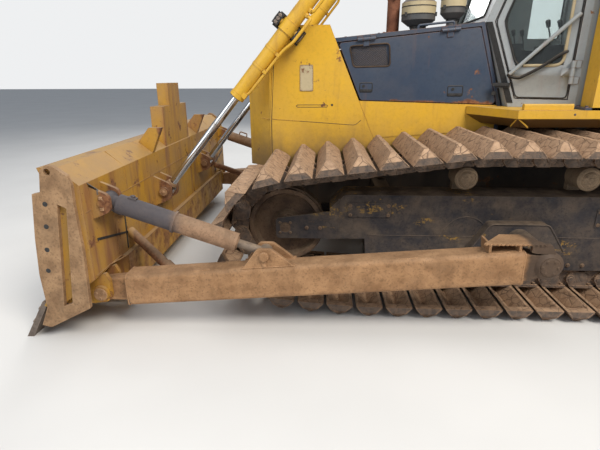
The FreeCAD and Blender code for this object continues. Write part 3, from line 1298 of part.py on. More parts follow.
def make_body_parts():
    make_fenders()
    posts = []
    for word, low, high in (("left", "rops_out - rops_post", "rops_out"), ("right", "-rops_out",
            "-rops_out + rops_post")):
        posts.append(box(f"rops_post_{word}", ("rops_x", "rops_x + 200"), (low, high),
            ("fender_top", "height - 10")))
    beam = box("rops_beam", ("rops_x", "rops_x + 200"), ("-rops_out", "rops_out"), ("cab_roof + 10",
        "height"))
    lamps = []
    for word, x, sign in (("front", D.rops_x + 200, 1), ("rear", D.rops_x, -1)):
        for index, y in enumerate((-620, 620)):
            corners = []
            for side in range(12):
                angle = math.pi * (side + 0.5) / 6
                corners.append((y + D.lamp * math.cos(angle), D.height - 66 + D.lamp * math.sin(angle)))
            span = sorted((x - sign * 4, x + sign * 84))
            lamps.append(prism(f"work_lamp_{word}_{index}", "x", corners, span))
    node("rollover_frame", fuse("rollover_frame", *posts, beam, *lamps))
    tank = prism("fuel_tank_body", "y", [
        (D.tank_rear_x, 1240.3, 60), (D.tank_front_x, 1240.3), (D.tank_front_x, D.tank_top, 60),
        (D.tank_rear_x + 60, D.tank_top, 90)], (-530, 530))
    cap_x = (D.tank_front_x + D.tank_rear_x) / 2
    cap = turned("fuel_cap", "z", [(-4, 0), (46, 0), (46, 48), (34, 62), (14, 62), (14, 52), (-4, 52)],
                 (cap_x, 330, D.tank_top))
    node("fuel_tank", fuse("fuel_tank", tank, cap))
    bar = prism("drawbar_plate", "z", [
        (-2560, -140), (D.hitch_x, -80, 60), (D.hitch_x, 80, 60), (-2560, 140)],
        ("hitch_z - hitch_thick/2", "hitch_z + hitch_thick/2"), [(D.hitch_x + 70, 0, D.hitch_pin)])
    node("drawbar", bar)


def check_and_export():
    DOC.recompute()
    for item in DOC.Objects:
        for word in ("Invalid", "Error"):
            if word in item.State:
                raise RuntimeError(f"{item.Name} is {word}")
    os.makedirs("parts", exist_ok=True)
    for label, made in NODES.items():
        shape = made.Shape
        if shape.isNull() or not shape.isValid():
            raise RuntimeError(f"{label} has no valid shape")
        shape.exportStep(f"parts/{label}.step")


make_tracks()
make_idler()
make_sprocket()
make_rollers()
make_track_frame()
make_balls()
make_arms()
make_blade()
make_end_plates()
make_braces()
make_lift_cylinders()
make_hull()
make_guard()
make_engine()
make_hood()
make_cab()
make_cab_inside()
make_body_parts()
check_and_export()
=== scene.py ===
import bpy
import bmesh
import json
import math
import random
from mathutils import Euler, Matrix, Vector


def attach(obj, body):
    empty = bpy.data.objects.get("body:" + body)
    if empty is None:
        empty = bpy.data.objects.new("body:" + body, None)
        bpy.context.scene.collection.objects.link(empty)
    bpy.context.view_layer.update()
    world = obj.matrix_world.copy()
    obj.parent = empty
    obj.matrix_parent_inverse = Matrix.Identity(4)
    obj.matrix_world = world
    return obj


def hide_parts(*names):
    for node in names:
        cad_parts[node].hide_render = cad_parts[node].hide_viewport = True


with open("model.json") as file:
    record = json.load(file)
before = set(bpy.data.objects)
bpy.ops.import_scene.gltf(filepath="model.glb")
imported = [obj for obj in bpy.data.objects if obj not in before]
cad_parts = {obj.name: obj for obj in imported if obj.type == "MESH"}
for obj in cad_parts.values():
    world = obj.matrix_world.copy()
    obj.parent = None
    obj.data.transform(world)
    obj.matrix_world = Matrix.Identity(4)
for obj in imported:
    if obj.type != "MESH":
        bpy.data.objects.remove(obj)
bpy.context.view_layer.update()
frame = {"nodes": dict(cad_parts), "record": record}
NODES = frame["nodes"]
random.seed(7)


# Camera, where the photographer stood

def make_camera():
    pitch, yaw, roll = math.radians(19.0), math.radians(3.37), math.radians(-0.3)
    ahead = Vector((math.sin(yaw) * math.cos(pitch), -math.cos(yaw) * math.cos(pitch), -math.sin(pitch)))
    right = Vector((-math.cos(yaw), -math.sin(yaw), 0.0))
    up = right.cross(ahead)
    across = right * math.cos(roll) + up * math.sin(roll)
    rise = up * math.cos(roll) - right * math.sin(roll)
    data = bpy.data.cameras.new("camera")
    data.lens = 25.98
    data.sensor_width = 36.0
    data.sensor_fit = "HORIZONTAL"
    data.clip_end = 200
    camera = bpy.data.objects.new("camera", data)
    turn = Matrix((across, rise, -ahead)).transposed().to_4x4()
    camera.matrix_world = Matrix.Translation((0.83, 4.206, 1.636)) @ turn
    bpy.context.collection.objects.link(camera)
    bpy.context.scene.camera = camera


# Materials

class Finish:
    """A procedural material that is put together layer by layer."""

    def __init__(self, name, metallic=0.0, specular=0.4):
        self.material = bpy.data.materials.new(name)
        self.material.use_nodes = True
        self.tree = self.material.node_tree
        self.shader = self.tree.nodes["Principled BSDF"]
        self.shader.inputs["Metallic"].default_value = metallic
        self.shader.inputs["Specular IOR Level"].default_value = specular
        self.coordinates = self.node("TexCoord").outputs["Object"]
        self.normal = self.node("NewGeometry").outputs["Normal"]

    def feed(self, socket, value):
        """Links another node's output, or sets a number or colour."""
        if isinstance(value, bpy.types.NodeSocket):
            self.tree.links.new(value, socket)
        elif isinstance(value, tuple) and len(value) == 3 and socket.type == "RGBA":
            socket.default_value = (*value, 1.0)
        else:
            socket.default_value = value

    def node(self, kind, **inputs):
        made = self.tree.nodes.new("ShaderNode" + kind)
        for name, value in inputs.items():
            self.feed(made.inputs[name.replace("_", " ")], value)
        return made

    def noise(self, scale, detail=4.0, rough=0.55, stretch=(1, 1, 1), place=(0, 0, 0), warp=0.0):
        spot = self.node("Mapping", Vector=self.coordinates, Scale=stretch, Location=place).outputs[0]
        return self.node("TexNoise", Vector=spot, Scale=scale, Detail=detail, Roughness=rough,
                         Distortion=warp).outputs["Fac"]

    def cracks(self, scale, width):
        """1 on the lines between cells, as in dried mud."""
        cells = self.node("TexVoronoi", Vector=self.coordinates, Scale=scale)
        cells.feature = "DISTANCE_TO_EDGE"
        return self.between(cells.outputs["Distance"], width, 0.0)

    def reckon(self, operation, first, second=0.0, clamp=False):
        node = self.node("Math")
        node.operation = operation
        node.use_clamp = clamp
        self.feed(node.inputs[0], first)
        self.feed(node.inputs[1], second)
        return node.outputs[0]

    def times(self, first, second, clamp=False):
        return self.reckon("MULTIPLY", first, second, clamp)

    def plus(self, first, second, clamp=False):
        return self.reckon("ADD", first, second, clamp)

    def most(self, first, second, clamp=False):
        return self.reckon("MAXIMUM", first, second, clamp)

    def between(self, value, low, high):
        """0 below low, 1 above high, smooth between; the other way round where low is the higher."""
        node = self.node("MapRange", Value=value, From_Min=low, From_Max=high)
        node.interpolation_type = "SMOOTHSTEP"
        return node.outputs["Result"]

    def mix(self, share, first, second):
        node = self.node("Mix")
        node.data_type = "RGBA"
        for index, value in ((0, share), (6, first), (7, second)):
            self.feed(node.inputs[index], value)
        return node.outputs[2]

    def along(self, vector, axis):
        return self.node("SeparateXYZ", Vector=vector).outputs["XYZ".index(axis)]

    def facing(self, axis):
        """How far the surface faces along X, Y or Z, from -1 to 1."""
        return self.along(self.normal, axis)

    def place(self, axis):
        return self.along(self.coordinates, axis)

    def rounded(self, radius):
        bevel = self.node("Bevel", Radius=radius)
        bevel.samples = 4
        return bevel.outputs[0]

    def edges(self, radius, low=0.02, high=0.25):
        """Near 1 on sharp edges, broken up by noise."""
        dot = self.node("VectorMath")
        dot.operation = "DOT_PRODUCT"
        self.feed(dot.inputs[0], self.rounded(radius))
        self.feed(dot.inputs[1], self.normal)
        bend = self.reckon("SUBTRACT", 1.0, dot.outputs["Value"])
        return self.between(self.times(bend, self.noise(30, 3, 0.6, place=(3, 1, 2))), low, high)

    def bump(self, height, strength, distance=0.01, round_edges=0.0):
        node = self.node("Bump", Strength=strength, Distance=distance, Height=height)
        if round_edges:
            self.feed(node.inputs["Normal"], self.rounded(round_edges))
        self.feed(self.shader.inputs["Normal"], node.outputs[0])

    def close(self, colour, roughness):
        self.feed(self.shader.inputs["Base Color"], colour)
        self.feed(self.shader.inputs["Roughness"], roughness)
        return self.material


DUST = (0.26, 0.185, 0.115)
MUD = (0.13, 0.088, 0.055)
RUST = (0.13, 0.05, 0.022)
LIGHT_RUST = (0.24, 0.105, 0.045)


def worn_paint(name, paint, faded, dusty=0.5, rusty=0.5, streaked=0.4, gloss=0.45, low_dirt=0.0, low_top=1.25,
               underside_shade=0.0, rust_and_shade_behind=None, rust_below=None):
    """Old machine paint: fading, scratches to rust at edges, stains that run down, dust on top; where asked,
    painted shade on faces that look down, and rust that is partly painted shade behind a given x.
    """
    f = Finish(name)
    colour = f.mix(f.between(f.noise(1.7, 5, 0.6), 0.35, 0.7), paint, faded)
    fine = f.noise(38, 4, 0.7)
    dark = tuple(part * 0.72 for part in paint)
    colour = f.mix(f.times(f.between(fine, 0.45, 0.75), 0.45), colour, dark)
    runs = f.between(f.noise(9, 5, 0.62, stretch=(1, 1, 0.12)), 0.62 - 0.12 * streaked, 0.78)
    upright = f.between(f.reckon("ABSOLUTE", f.facing("Z")), 0.9, 0.5)
    runs = f.times(f.times(runs, upright), 0.75 * streaked)
    colour = f.mix(runs, colour, LIGHT_RUST)
    spots = f.between(f.noise(6.5, 9, 0.66, place=(5, 2, 7)), 0.69 - 0.09 * rusty, 0.72 - 0.07 * rusty)
    flecks = f.between(f.noise(52, 5, 0.7, place=(9, 3, 2)), 0.7 - 0.05 * rusty, 0.74 - 0.05 * rusty)
    edge = f.edges(0.012)
    bare_and_shade = f.most(f.most(spots, flecks), f.times(edge, 0.85), clamp=True)
    # Rust that is partly painted shade: behind the given x everything turns rust-brown, which on the blade's
    # back and the beam at its foot also stands in for the shade there.
    if rust_and_shade_behind:
        behind = f.plus(f.place("X"), f.times(f.noise(7, 5, 0.65), 0.1))
        bare_and_shade = f.most(bare_and_shade, f.between(behind, rust_and_shade_behind + 0.05, rust_and_shade_behind + 0.02), clamp=True)
    if rust_below:
        low = f.plus(f.place("Z"), f.times(f.noise(6, 6, 0.7), 0.14))
        bare_and_shade = f.most(bare_and_shade, f.between(low, rust_below + 0.08, rust_below + 0.06), clamp=True)
    patina = f.mix(f.between(f.noise(45, 3, 0.6), 0.35, 0.65), RUST, LIGHT_RUST)
    colour = f.mix(bare_and_shade, colour, patina)
    settle = f.between(f.plus(f.facing("Z"), f.times(f.noise(5, 6, 0.7), 0.5)), 0.55, 1.25)
    veil = f.times(f.between(f.noise(2.3, 6, 0.7, place=(1, 8, 3)), 0.42, 0.78), 0.55)
    dust = f.times(f.most(settle, veil), dusty, clamp=True)
    colour = f.mix(dust, colour, DUST)
    if low_dirt:
        near = f.plus(f.place("Z"), f.times(f.noise(3.2, 5, 0.7), 0.5))
        colour = f.mix(f.times(f.between(near, low_top, low_top - 0.5), low_dirt), colour, MUD)
    # Painted shade: faces that look down are darkened towards a dark brown, standing in for the shade under
    # overhangs such as the fender's lip.
    if underside_shade:
        below = f.plus(f.facing("Z"), f.times(f.noise(9, 6, 0.7), 0.5))
        colour = f.mix(f.times(f.between(below, 0.15, -0.15), underside_shade), colour, (0.07, 0.04, 0.018))
    grain = f.plus(f.times(bare_and_shade, -0.6), f.times(fine, 0.5))
    f.bump(grain, 0.35, 0.002, round_edges=0.004)
    rough = f.plus(gloss, f.times(f.most(bare_and_shade, dust), 0.9 - gloss), clamp=True)
    return f.close(colour, rough)


def rusted(name, deep, pale, dusty=0.6, shine=0.0, grain=24, chips=None, painted_shadow=None):
    """Bare steel that has rusted: mottled, pitted, rubbed bright at edges, with dried mud; where asked, a
    painted shadow that darkens it along X.
    """
    f = Finish(name, metallic=0.15)
    mottle = f.noise(7, 8, 0.66, warp=0.3)
    colour = f.mix(f.between(mottle, 0.32, 0.68), deep, pale)
    pits = f.noise(grain * 3, 3, 0.6)
    colour = f.mix(f.times(f.between(pits, 0.5, 0.7), 0.5), colour, tuple(part * 0.5 for part in deep))
    edge = f.edges(0.01)
    colour = f.mix(f.times(edge, 0.5 + shine), colour, tuple(min(1, part * 1.5 + 0.05) for part in pale))
    settle = f.between(f.plus(f.facing("Z"), f.times(f.noise(8, 6, 0.75), 0.8)), 0.35, 1.3)
    crust = f.between(f.noise(3.1, 7, 0.7, place=(4, 4, 9)), 0.45, 0.7)
    dust = f.times(f.most(settle, f.times(crust, 0.7)), dusty, clamp=True)
    earth = f.mix(f.between(f.noise(17, 5, 0.7), 0.35, 0.7), DUST, MUD)
    colour = f.mix(dust, colour, earth)
    if chips:
        speck = f.between(f.noise(34, 8, 0.75, place=(7, 1, 5)), 0.49, 0.56)
        region = f.between(f.noise(2.1, 6, 0.7, stretch=(0.6, 1, 1.5), place=(2, 6, 1)), 0.545, 0.6)
        keep = f.times(f.times(speck, region), 0.85)
        colour = f.mix(keep, colour, chips)
    # Painted shadow: from start to end along X the colour turns towards the given dark tone, standing in for
    # shade (the push arms' rear ends round the trunnion sockets, the tilt barrel's front).
    if painted_shadow:
        start, end, shadow_tone = painted_shadow
        along = f.plus(f.place("X"), f.times(f.noise(14, 5, 0.65), 0.05))
        colour = f.mix(f.times(f.between(along, start, end), 0.85), colour, shadow_tone)
    height = f.plus(f.times(pits, 0.6), f.times(f.noise(grain, 6, 0.7), 1.0))
    f.bump(height, 0.5, 0.004, round_edges=0.004)
    rough = f.plus(0.55 - 0.2 * shine, f.times(f.noise(12, 4, 0.6), 0.5), clamp=True)
    return f.close(colour, rough)


def track_steel():
    """Shoes: dry earth on top and in the grooves, rubbed dark crests, rust below."""
    f = Finish("track_steel", metallic=0.1)
    colour = f.mix(f.between(f.noise(26, 6, 0.7), 0.38, 0.64), (0.08, 0.05, 0.035), (0.24, 0.14, 0.08))
    settle = f.between(f.plus(f.facing("Z"), f.times(f.noise(6, 7, 0.75), 0.9)), 0.45, 1.1)
    earth = f.mix(f.between(f.noise(24, 6, 0.7), 0.35, 0.7), (0.46, 0.3, 0.185), (0.28, 0.175, 0.105))
    colour = f.mix(f.times(settle, 0.92), colour, earth)
    cracks = f.cracks(15, 0.05)
    colour = f.mix(f.times(f.times(settle, cracks), 0.75), colour, (0.085, 0.052, 0.034))
    ends = f.between(f.reckon("ABSOLUTE", f.facing("Y")), 0.75, 0.95)
    colour = f.mix(f.times(ends, 0.45), colour, (0.115, 0.105, 0.095))
    crest = f.edges(0.016, 0.02, 0.2)
    colour = f.mix(f.times(crest, 0.4), colour, (0.42, 0.26, 0.15))
    f.bump(f.reckon("SUBTRACT", f.noise(60, 6, 0.7), cracks), 0.6, 0.004, round_edges=0.005)
    return f.close(colour, f.between(f.noise(20, 3, 0.6), -0.6, 0.9))


def chrome_rod():
    """Hard chrome with an oily film."""
    f = Finish("rod_chrome", metallic=1.0, specular=0.5)
    film = f.between(f.noise(7, 6, 0.65), 0.46, 0.72)
    colour = f.mix(f.times(film, 0.6), (0.55, 0.55, 0.55), (0.3, 0.22, 0.15))
    f.bump(f.noise(90, 2, 0.5), 0.05, 0.001)
    return f.close(colour, f.plus(0.16, f.times(film, 0.35)))


def glass():
    """Window glass with a veil of dust."""
    f = Finish("pane", specular=0.5)
    f.shader.inputs["Transmission Weight"].default_value = 1.0
    f.shader.inputs["IOR"].default_value = 1.45
    haze = f.between(f.noise(3.0, 7, 0.7), 0.42, 0.8)
    colour = f.mix(f.times(haze, 0.25), (0.8, 0.87, 0.86), (0.62, 0.6, 0.52))
    f.bump(f.noise(2.2, 2, 0.5), 0.05, 0.002)
    return f.close(colour, f.times(haze, 0.12))


def lamp_glass():
    """Ribbed lamp lens, slightly yellowed."""
    f = Finish("lens", specular=0.6)
    ribs = f.node("TexWave", Scale=26, Vector=f.coordinates)
    colour = f.mix(f.between(f.noise(12, 4, 0.6), 0.3, 0.7), (0.62, 0.62, 0.58), (0.44, 0.4, 0.32))
    f.bump(ribs.outputs["Fac"], 0.4, 0.002)
    return f.close(colour, f.plus(0.1, f.times(f.noise(9, 4, 0.6), 0.2)))


def dull(name, colour, rough=0.6, dusty=0.35, grain=60):
    """Rubber, plastic and black iron: fine grain with dust in the hollows."""
    f = Finish(name, specular=0.35)
    fine = f.noise(grain, 4, 0.65)
    tint = f.mix(f.between(fine, 0.35, 0.7), colour, tuple(part * 1.5 + 0.008 for part in colour))
    settle = f.between(f.plus(f.facing("Z"), f.times(f.noise(7, 6, 0.7), 0.8)), 0.5, 1.4)
    tint = f.mix(f.times(settle, dusty), tint, DUST)
    f.bump(fine, 0.25, 0.001, round_edges=0.002)
    return f.close(tint, f.plus(rough, f.times(settle, 0.3), clamp=True))


def fabric():
    """Seat cloth: fine crossed weave, paler in patches of dust."""
    f = Finish("cushion", specular=0.2)
    threads = []
    for direction in "XY":
        wave = f.node("TexWave", Scale=160, Distortion=0.6, Vector=f.coordinates)
        wave.bands_direction = direction
        threads.append(wave.outputs["Fac"])
    weave = f.times(*threads)
    tint = f.mix(f.between(weave, 0.1, 0.8), (0.02, 0.02, 0.022), (0.06, 0.058, 0.058))
    tint = f.mix(f.times(f.between(f.noise(6, 6, 0.7), 0.45, 0.75), 0.35), tint, DUST)
    f.shader.inputs["Sheen Weight"].default_value = 0.25
    f.bump(weave, 0.3, 0.001)
    return f.close(tint, f.plus(0.78, f.times(weave, 0.1), clamp=True))


YELLOW = (0.7, 0.4, 0.022)
PALE_YELLOW = (0.6, 0.35, 0.045)
BLUE = (0.032, 0.05, 0.086)
PALE_BLUE = (0.05, 0.068, 0.1)
PAINTS = {
    "yellow_paint": (YELLOW, PALE_YELLOW, dict(
        dusty=0.32, rusty=0.45, streaked=0.7, low_dirt=0.85, low_top=1.62)),
    # fender_paint: painted shade on the faces that look down, under the fender.
    "fender_paint": (YELLOW, PALE_YELLOW, dict(dusty=0.3, rusty=0.6, streaked=0.8, underside_shade=0.9)),
    "tank_paint": (YELLOW, PALE_YELLOW, dict(dusty=0.4, rusty=0.3, streaked=0.5)),
    "cream_paint": ((0.52, 0.43, 0.26), (0.42, 0.34, 0.2), dict(dusty=0.3, rusty=0.35, streaked=0.3)),
    # blade_paint: rust behind x 2.225 that is partly painted shade on the blade's back and its beam.
    "blade_paint": ((0.5, 0.26, 0.02), (0.34, 0.19, 0.07), dict(
        dusty=0.6, rusty=1.15, streaked=1.5, gloss=0.55, rust_and_shade_behind=2.225)),
    "hood_paint": (BLUE, PALE_BLUE, dict(dusty=0.2, rusty=0.35, streaked=0.3, gloss=0.36)),
    "door_paint": (BLUE, PALE_BLUE, dict(dusty=0.2, rusty=0.45, streaked=0.3, gloss=0.36, rust_below=1.44)),
    "cab_paint": ((0.34, 0.36, 0.36), (0.27, 0.29, 0.29), dict(
        dusty=0.25, rusty=0.3, streaked=0.8, gloss=0.4)),
    "cleaner_paint": ((0.06, 0.062, 0.068), (0.09, 0.088, 0.084), dict(
        dusty=0.4, rusty=0.4, streaked=0.4, gloss=0.5)),
    "frame_paint": ((0.052, 0.045, 0.04), (0.095, 0.075, 0.058), dict(
        dusty=0.65, rusty=0.8, streaked=0.6, gloss=0.6, low_dirt=0.5)),
}
STEELS = {
    "side_beam": ((0.026, 0.025, 0.03), (0.08, 0.06, 0.048), dict(dusty=0.45, chips=(0.33, 0.19, 0.04))),
    "arm_steel": ((0.24, 0.13, 0.062), (0.41, 0.24, 0.125), dict(dusty=0.35, shine=0.2)),
    # push_arm: painted shadow darkens the rear end, behind x -0.37.
    "push_arm": ((0.25, 0.13, 0.058), (0.43, 0.24, 0.115), dict(
        dusty=0.3, shine=0.2, painted_shadow=(-0.37, -0.41, (0.05, 0.036, 0.028)))),
    # tilt_paint: painted shadow darkens the barrel's front, ahead of x 1.72.
    "tilt_paint": ((0.2, 0.115, 0.065), (0.36, 0.215, 0.125), dict(
        dusty=0.35, shine=0.2, painted_shadow=(1.72, 1.84, (0.05, 0.054, 0.068)))),
    "end_steel": ((0.22, 0.125, 0.062), (0.41, 0.25, 0.13), dict(dusty=0.35)),
    "tilt_steel": ((0.13, 0.105, 0.09), (0.3, 0.225, 0.16), dict(dusty=0.5, shine=0.3)),
    "wear_steel": ((0.11, 0.085, 0.07), (0.24, 0.19, 0.15), dict(dusty=0.5, shine=0.4)),
    "grey_steel": ((0.06, 0.06, 0.062), (0.15, 0.135, 0.12), dict(dusty=0.4, shine=0.3)),
    "roller_steel": ((0.07, 0.042, 0.028), (0.17, 0.105, 0.062), dict(dusty=0.6)),
    "roller_tan": ((0.19, 0.13, 0.08), (0.34, 0.245, 0.155), dict(dusty=0.4, shine=0.2)),
    "mesh_steel": ((0.026, 0.018, 0.014), (0.08, 0.05, 0.03), dict(dusty=0.2, grain=60)),
    "exhaust_steel": ((0.13, 0.045, 0.025), (0.25, 0.1, 0.052), dict(dusty=0.15, grain=40)),
}


def make_materials():
    made = {name: worn_paint(name, paint, faded, **wear) for name, (paint, faded, wear) in PAINTS.items()}
    made.update({name: rusted(name, deep, pale, **wear) for name, (deep, pale, wear) in STEELS.items()})
    made.update({
        "track_steel": track_steel(), "rod_chrome": chrome_rod(), "pane": glass(), "lens": lamp_glass(),
        "cushion": fabric(), "dark_steel": dull("dark_steel", (0.022, 0.021, 0.02), 0.55, 0.35),
        "trim_plastic": dull("trim_plastic", (0.03, 0.03, 0.03), 0.6, 0.25, 120),
        "rubber": dull("rubber", (0.014, 0.013, 0.012), 0.65, 0.3, 80),
    })
    return made


MATERIALS = make_materials()
OTHER_FINISH = {
    "blade": "blade_paint", "blade_end_plates": "end_steel", "track_frame_left": "side_beam",
    "track_frame_right": "side_beam", "idlers": "roller_steel", "track_rollers": "roller_steel",
    "carrier_rollers": "roller_tan", "sprockets": "roller_steel", "fuel_tank": "tank_paint",
    "precleaners": "cleaner_paint", "tilt_rod": "tilt_steel", "tilt_barrel": "tilt_paint",
    "push_arm_left": "push_arm", "push_arm_right": "push_arm", "fenders": "fender_paint",
    "hood_door_left": "door_paint", "hood_door_right": "door_paint",
}


def dress_nodes():
    slots = {part["node"]: part["material_slot"] for part in frame["record"]["subparts"]}
    for name, node in NODES.items():
        finish = MATERIALS[OTHER_FINISH.get(name, slots[name])]
        if not node.material_slots:
            node.data.materials.append(finish)
        for place in node.material_slots:
            place.material = finish


# Room

def make_room():
    data = bpy.data.meshes.new("floor")
    size = 60
    corners = [(-size, -size, 0), (size, -size, 0), (size, size, 0), (-size, size, 0)]
    data.from_pydata(corners, [], [(0, 1, 2, 3)])
    floor = bpy.data.objects.new("floor", data)
    bpy.context.collection.objects.link(floor)
    f = Finish("floor_finish", specular=0.2)
    shadow_tone = f.mix(f.between(f.noise(0.8, 3, 0.5), 0.3, 0.7), (0.63, 0.62, 0.6), (0.66, 0.65, 0.63))
    f.bump(f.noise(40, 3, 0.5), 0.05, 0.002)
    data.materials.append(f.close(shadow_tone, 0.8))
    world = bpy.data.worlds.new("world")
    bpy.context.scene.world = world
    world.use_nodes = True
    tree = world.node_tree
    tree.nodes.clear()
    output = tree.nodes.new("ShaderNodeOutputWorld")
    seen = tree.nodes.new("ShaderNodeBackground")
    seen.inputs[0].default_value = (0.86, 0.87, 0.88, 1)
    seen.inputs[1].default_value = 1.0
    lit = tree.nodes.new("ShaderNodeBackground")
    lit.inputs[0].default_value = (0.8, 0.88, 1.0, 1)
    lit.inputs[1].default_value = 0.4
    path = tree.nodes.new("ShaderNodeLightPath")
    either = tree.nodes.new("ShaderNodeMath")
    either.operation = "MAXIMUM"
    tree.links.new(path.outputs["Is Camera Ray"], either.inputs[0])
    tree.links.new(path.outputs["Is Transmission Ray"], either.inputs[1])
    blend = tree.nodes.new("ShaderNodeMixShader")
    tree.links.new(either.outputs[0], blend.inputs[0])
    tree.links.new(lit.outputs[0], blend.inputs[1])
    tree.links.new(seen.outputs[0], blend.inputs[2])
    tree.links.new(blend.outputs[0], output.inputs[0])
    for name, place, aim, size, power, tint in (
        ("key", (-3.5, 6.5, 8.0), (0.3, 0.5, 0.8), 4.0, 950, (1.0, 0.95, 0.88)),
        ("fill", (7.0, 6.0, 4.5), (1.0, 0.5, 0.8), 6.0, 270, (0.92, 0.96, 1.0)),
        ("back", (2.0, -8.0, 7.0), (0.0, 0.0, 1.0), 6.0, 400, (1.0, 0.98, 0.95)),
        ("top", (0.0, 0.0, 10.0), (0.0, 0.0, 0.0), 8.0, 290, (1.0, 1.0, 1.0)),
    ):
        lamp = bpy.data.lights.new(name, "AREA")
        lamp.shape = "DISK"
        lamp.size = size
        lamp.energy = power
        lamp.color = tint
        thing = bpy.data.objects.new(name, lamp)
        thing.location = place
        thing.rotation_euler = (Vector(aim) - Vector(place)).to_track_quat("-Z", "Y").to_euler()
        bpy.context.collection.objects.link(thing)
    bpy.context.scene.view_settings.view_transform = "Standard"


# Forms for the detail pieces

def add_mesh(name, form, finish, body, instead_of=None, crease=32):
    """Makes a visible piece that rides on a body; edges sharper than crease degrees stay sharp."""
    bmesh.ops.recalc_face_normals(form, faces=form.faces)
    data = bpy.data.meshes.new(name)
    form.to_mesh(data)
    form.free()
    data.polygons.foreach_set("use_smooth", [True] * len(data.polygons))
    if crease:
        data.set_sharp_from_angle(angle=math.radians(crease))
    data.materials.append(MATERIALS[finish])
    made = bpy.data.objects.new(name, data)
    bpy.context.collection.objects.link(made)
    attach(made, body)
    if instead_of:
        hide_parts(instead_of)
    return made


class Piece:
    """A detail made of many small forms, joined into one mesh. Lengths are in metres."""

    def __init__(self, name):
        self.name = name
        self.form = bmesh.new()

    def block(self, centre, size, turn=(0, 0, 0)):
        made = bmesh.ops.create_cube(self.form, size=1.0)
        place = Matrix.Translation(centre) @ Euler(turn).to_matrix().to_4x4() @ Matrix.Diagonal((*size, 1))
        bmesh.ops.transform(self.form, matrix=place, verts=made["verts"])

    def rod(self, start, end, radius, sides=20, far=None):
        start, end = Vector(start), Vector(end)
        run = end - start
        made = bmesh.ops.create_cone(self.form, cap_ends=True, segments=sides, radius1=radius,
                                     radius2=radius if far is None else far, depth=run.length)
        place = Matrix.Translation((start + end) / 2) @ run.to_track_quat("Z", "Y").to_matrix().to_4x4()
        bmesh.ops.transform(self.form, matrix=place, verts=made["verts"])

    def bolt(self, place, facing, radius=0.013, height=0.011):
        """Hexagon head on a washer."""
        place, facing = Vector(place), Vector(facing).normalized()
        self.rod(place - facing * 0.003, place + facing * 0.003, radius * 1.4, 14)
        self.rod(place, place + facing * height, radius, 6)

    def bolts(self, places, facing, radius=0.013, height=0.011):
        for place in places:
            self.bolt(place, facing, radius, height)

    def plate(self, corners, thick):
        """A flat plate: corners in order, thick is the vector to its other face."""
        thick = Vector(thick)
        low = [self.form.verts.new(Vector(corner)) for corner in corners]
        high = [self.form.verts.new(Vector(corner) + thick) for corner in corners]
        self.form.faces.new(low)
        self.form.faces.new(high[::-1])
        for index, start in enumerate(low):
            following = (index + 1) % len(low)
            self.form.faces.new((start, high[index], high[following], low[following]))

    def tube(self, points, radius, bend=0.05, sides=12, closed=False):
        """A bent pipe through points, its corners rounded."""
        points = [Vector(point) for point in points]
        if closed:
            points = [(points[0] + points[-1]) / 2] + points + [(points[0] + points[-1]) / 2]
        path = [points[0]]
        for before, corner, after in zip(points, points[1:], points[2:]):
            reach = min(bend, (corner - before).length * 0.45, (after - corner).length * 0.45)
            start = corner + (before - corner).normalized() * reach
            end = corner + (after - corner).normalized() * reach
            for step in range(7):
                share = step / 6
                path.append(start * (1 - share) ** 2 + corner * 2 * share * (1 - share) + end * share ** 2)
        path.append(points[-1])
        rings = []
        side = (path[1] - path[0]).orthogonal().normalized()
        for index, point in enumerate(path):
            run = (path[min(index + 1, len(path) - 1)] - path[max(index - 1, 0)]).normalized()
            side = (side - run * side.dot(run)).normalized()
            other = run.cross(side)
            ring = []
            for count in range(sides):
                angle = 2 * math.pi * count / sides
                lean = side * math.cos(angle) + other * math.sin(angle)
                ring.append(self.form.verts.new(point + lean * radius))
            rings.append(ring)
        for low, high in zip(rings, rings[1:]):
            for count in range(sides):
                following = (count + 1) % sides
                self.form.faces.new((low[count], low[following], high[following], high[count]))
        self.form.faces.new(rings[0][::-1])
        self.form.faces.new(rings[-1])

    def lattice(self, corner, across, up, pitch, wire):
        """Diamond mesh of wire over the parallelogram from corner along across and up."""
        corner, across, up = Vector(corner), Vector(across), Vector(up)
        wide, high = across.length, up.length
        lines = int((wide + high) / pitch)
        for sign in (1, -1):
            for line in range(1, lines + 1):
                reach = line * pitch
                low = max(0.0, reach - high)
                far = min(wide, reach)
                if far - low < pitch * 0.2:
                    continue
                ends = []
                for s in (low, far):
                    t = reach - s if sign > 0 else high - (reach - s)
                    ends.append(corner + across * (s / wide) + up * (t / high))
                self.rod(ends[0], ends[1], wire, 4)

    def mirror(self):
        """Adds the mirror image on the machine's other side."""
        everything = self.form.verts[:] + self.form.edges[:] + self.form.faces[:]
        made = bmesh.ops.duplicate(self.form, geom=everything)
        for item in made["geom"]:
            if isinstance(item, bmesh.types.BMVert):
                item.co.y = -item.co.y

    def place(self, finish, body, slot, instead_of=None):
        add_mesh(self.name, self.form, finish, body, instead_of)


def ring_of(centre, first, second, radius, count, start=0.0):
    """Points on a circle round centre, in the plane of two unit vectors."""
    centre, first, second = Vector(centre), Vector(first), Vector(second)
    places = []
    for index in range(count):
        angle = start + 2 * math.pi * index / count
        places.append(centre + first * (radius * math.cos(angle)) + second * (radius * math.sin(angle)))
    return places


ALONG, ACROSS, UP = Vector((1, 0, 0)), Vector((0, 1, 0)), Vector((0, 0, 1))
SIDES = (("left", 1), ("right", -1))

# Places that several details share, as x and z of a pin, or as y of a side

TRUNNION, BLADE_PIN = (-0.545, 0.525), (2.285, 0.29)
BRACE_PIN, ARM_EAR = (2.194, 0.902), (1.204, 0.566)
LIFT_TOP, LIFT_EYE = (1.12, 1.98), (2.18, 0.72)
ARM_Y, LIFT_Y, GUARD_Y, FRAME_Y = 1.645, 0.64, 0.53, 1.16
BLADE_BACK = 2.262


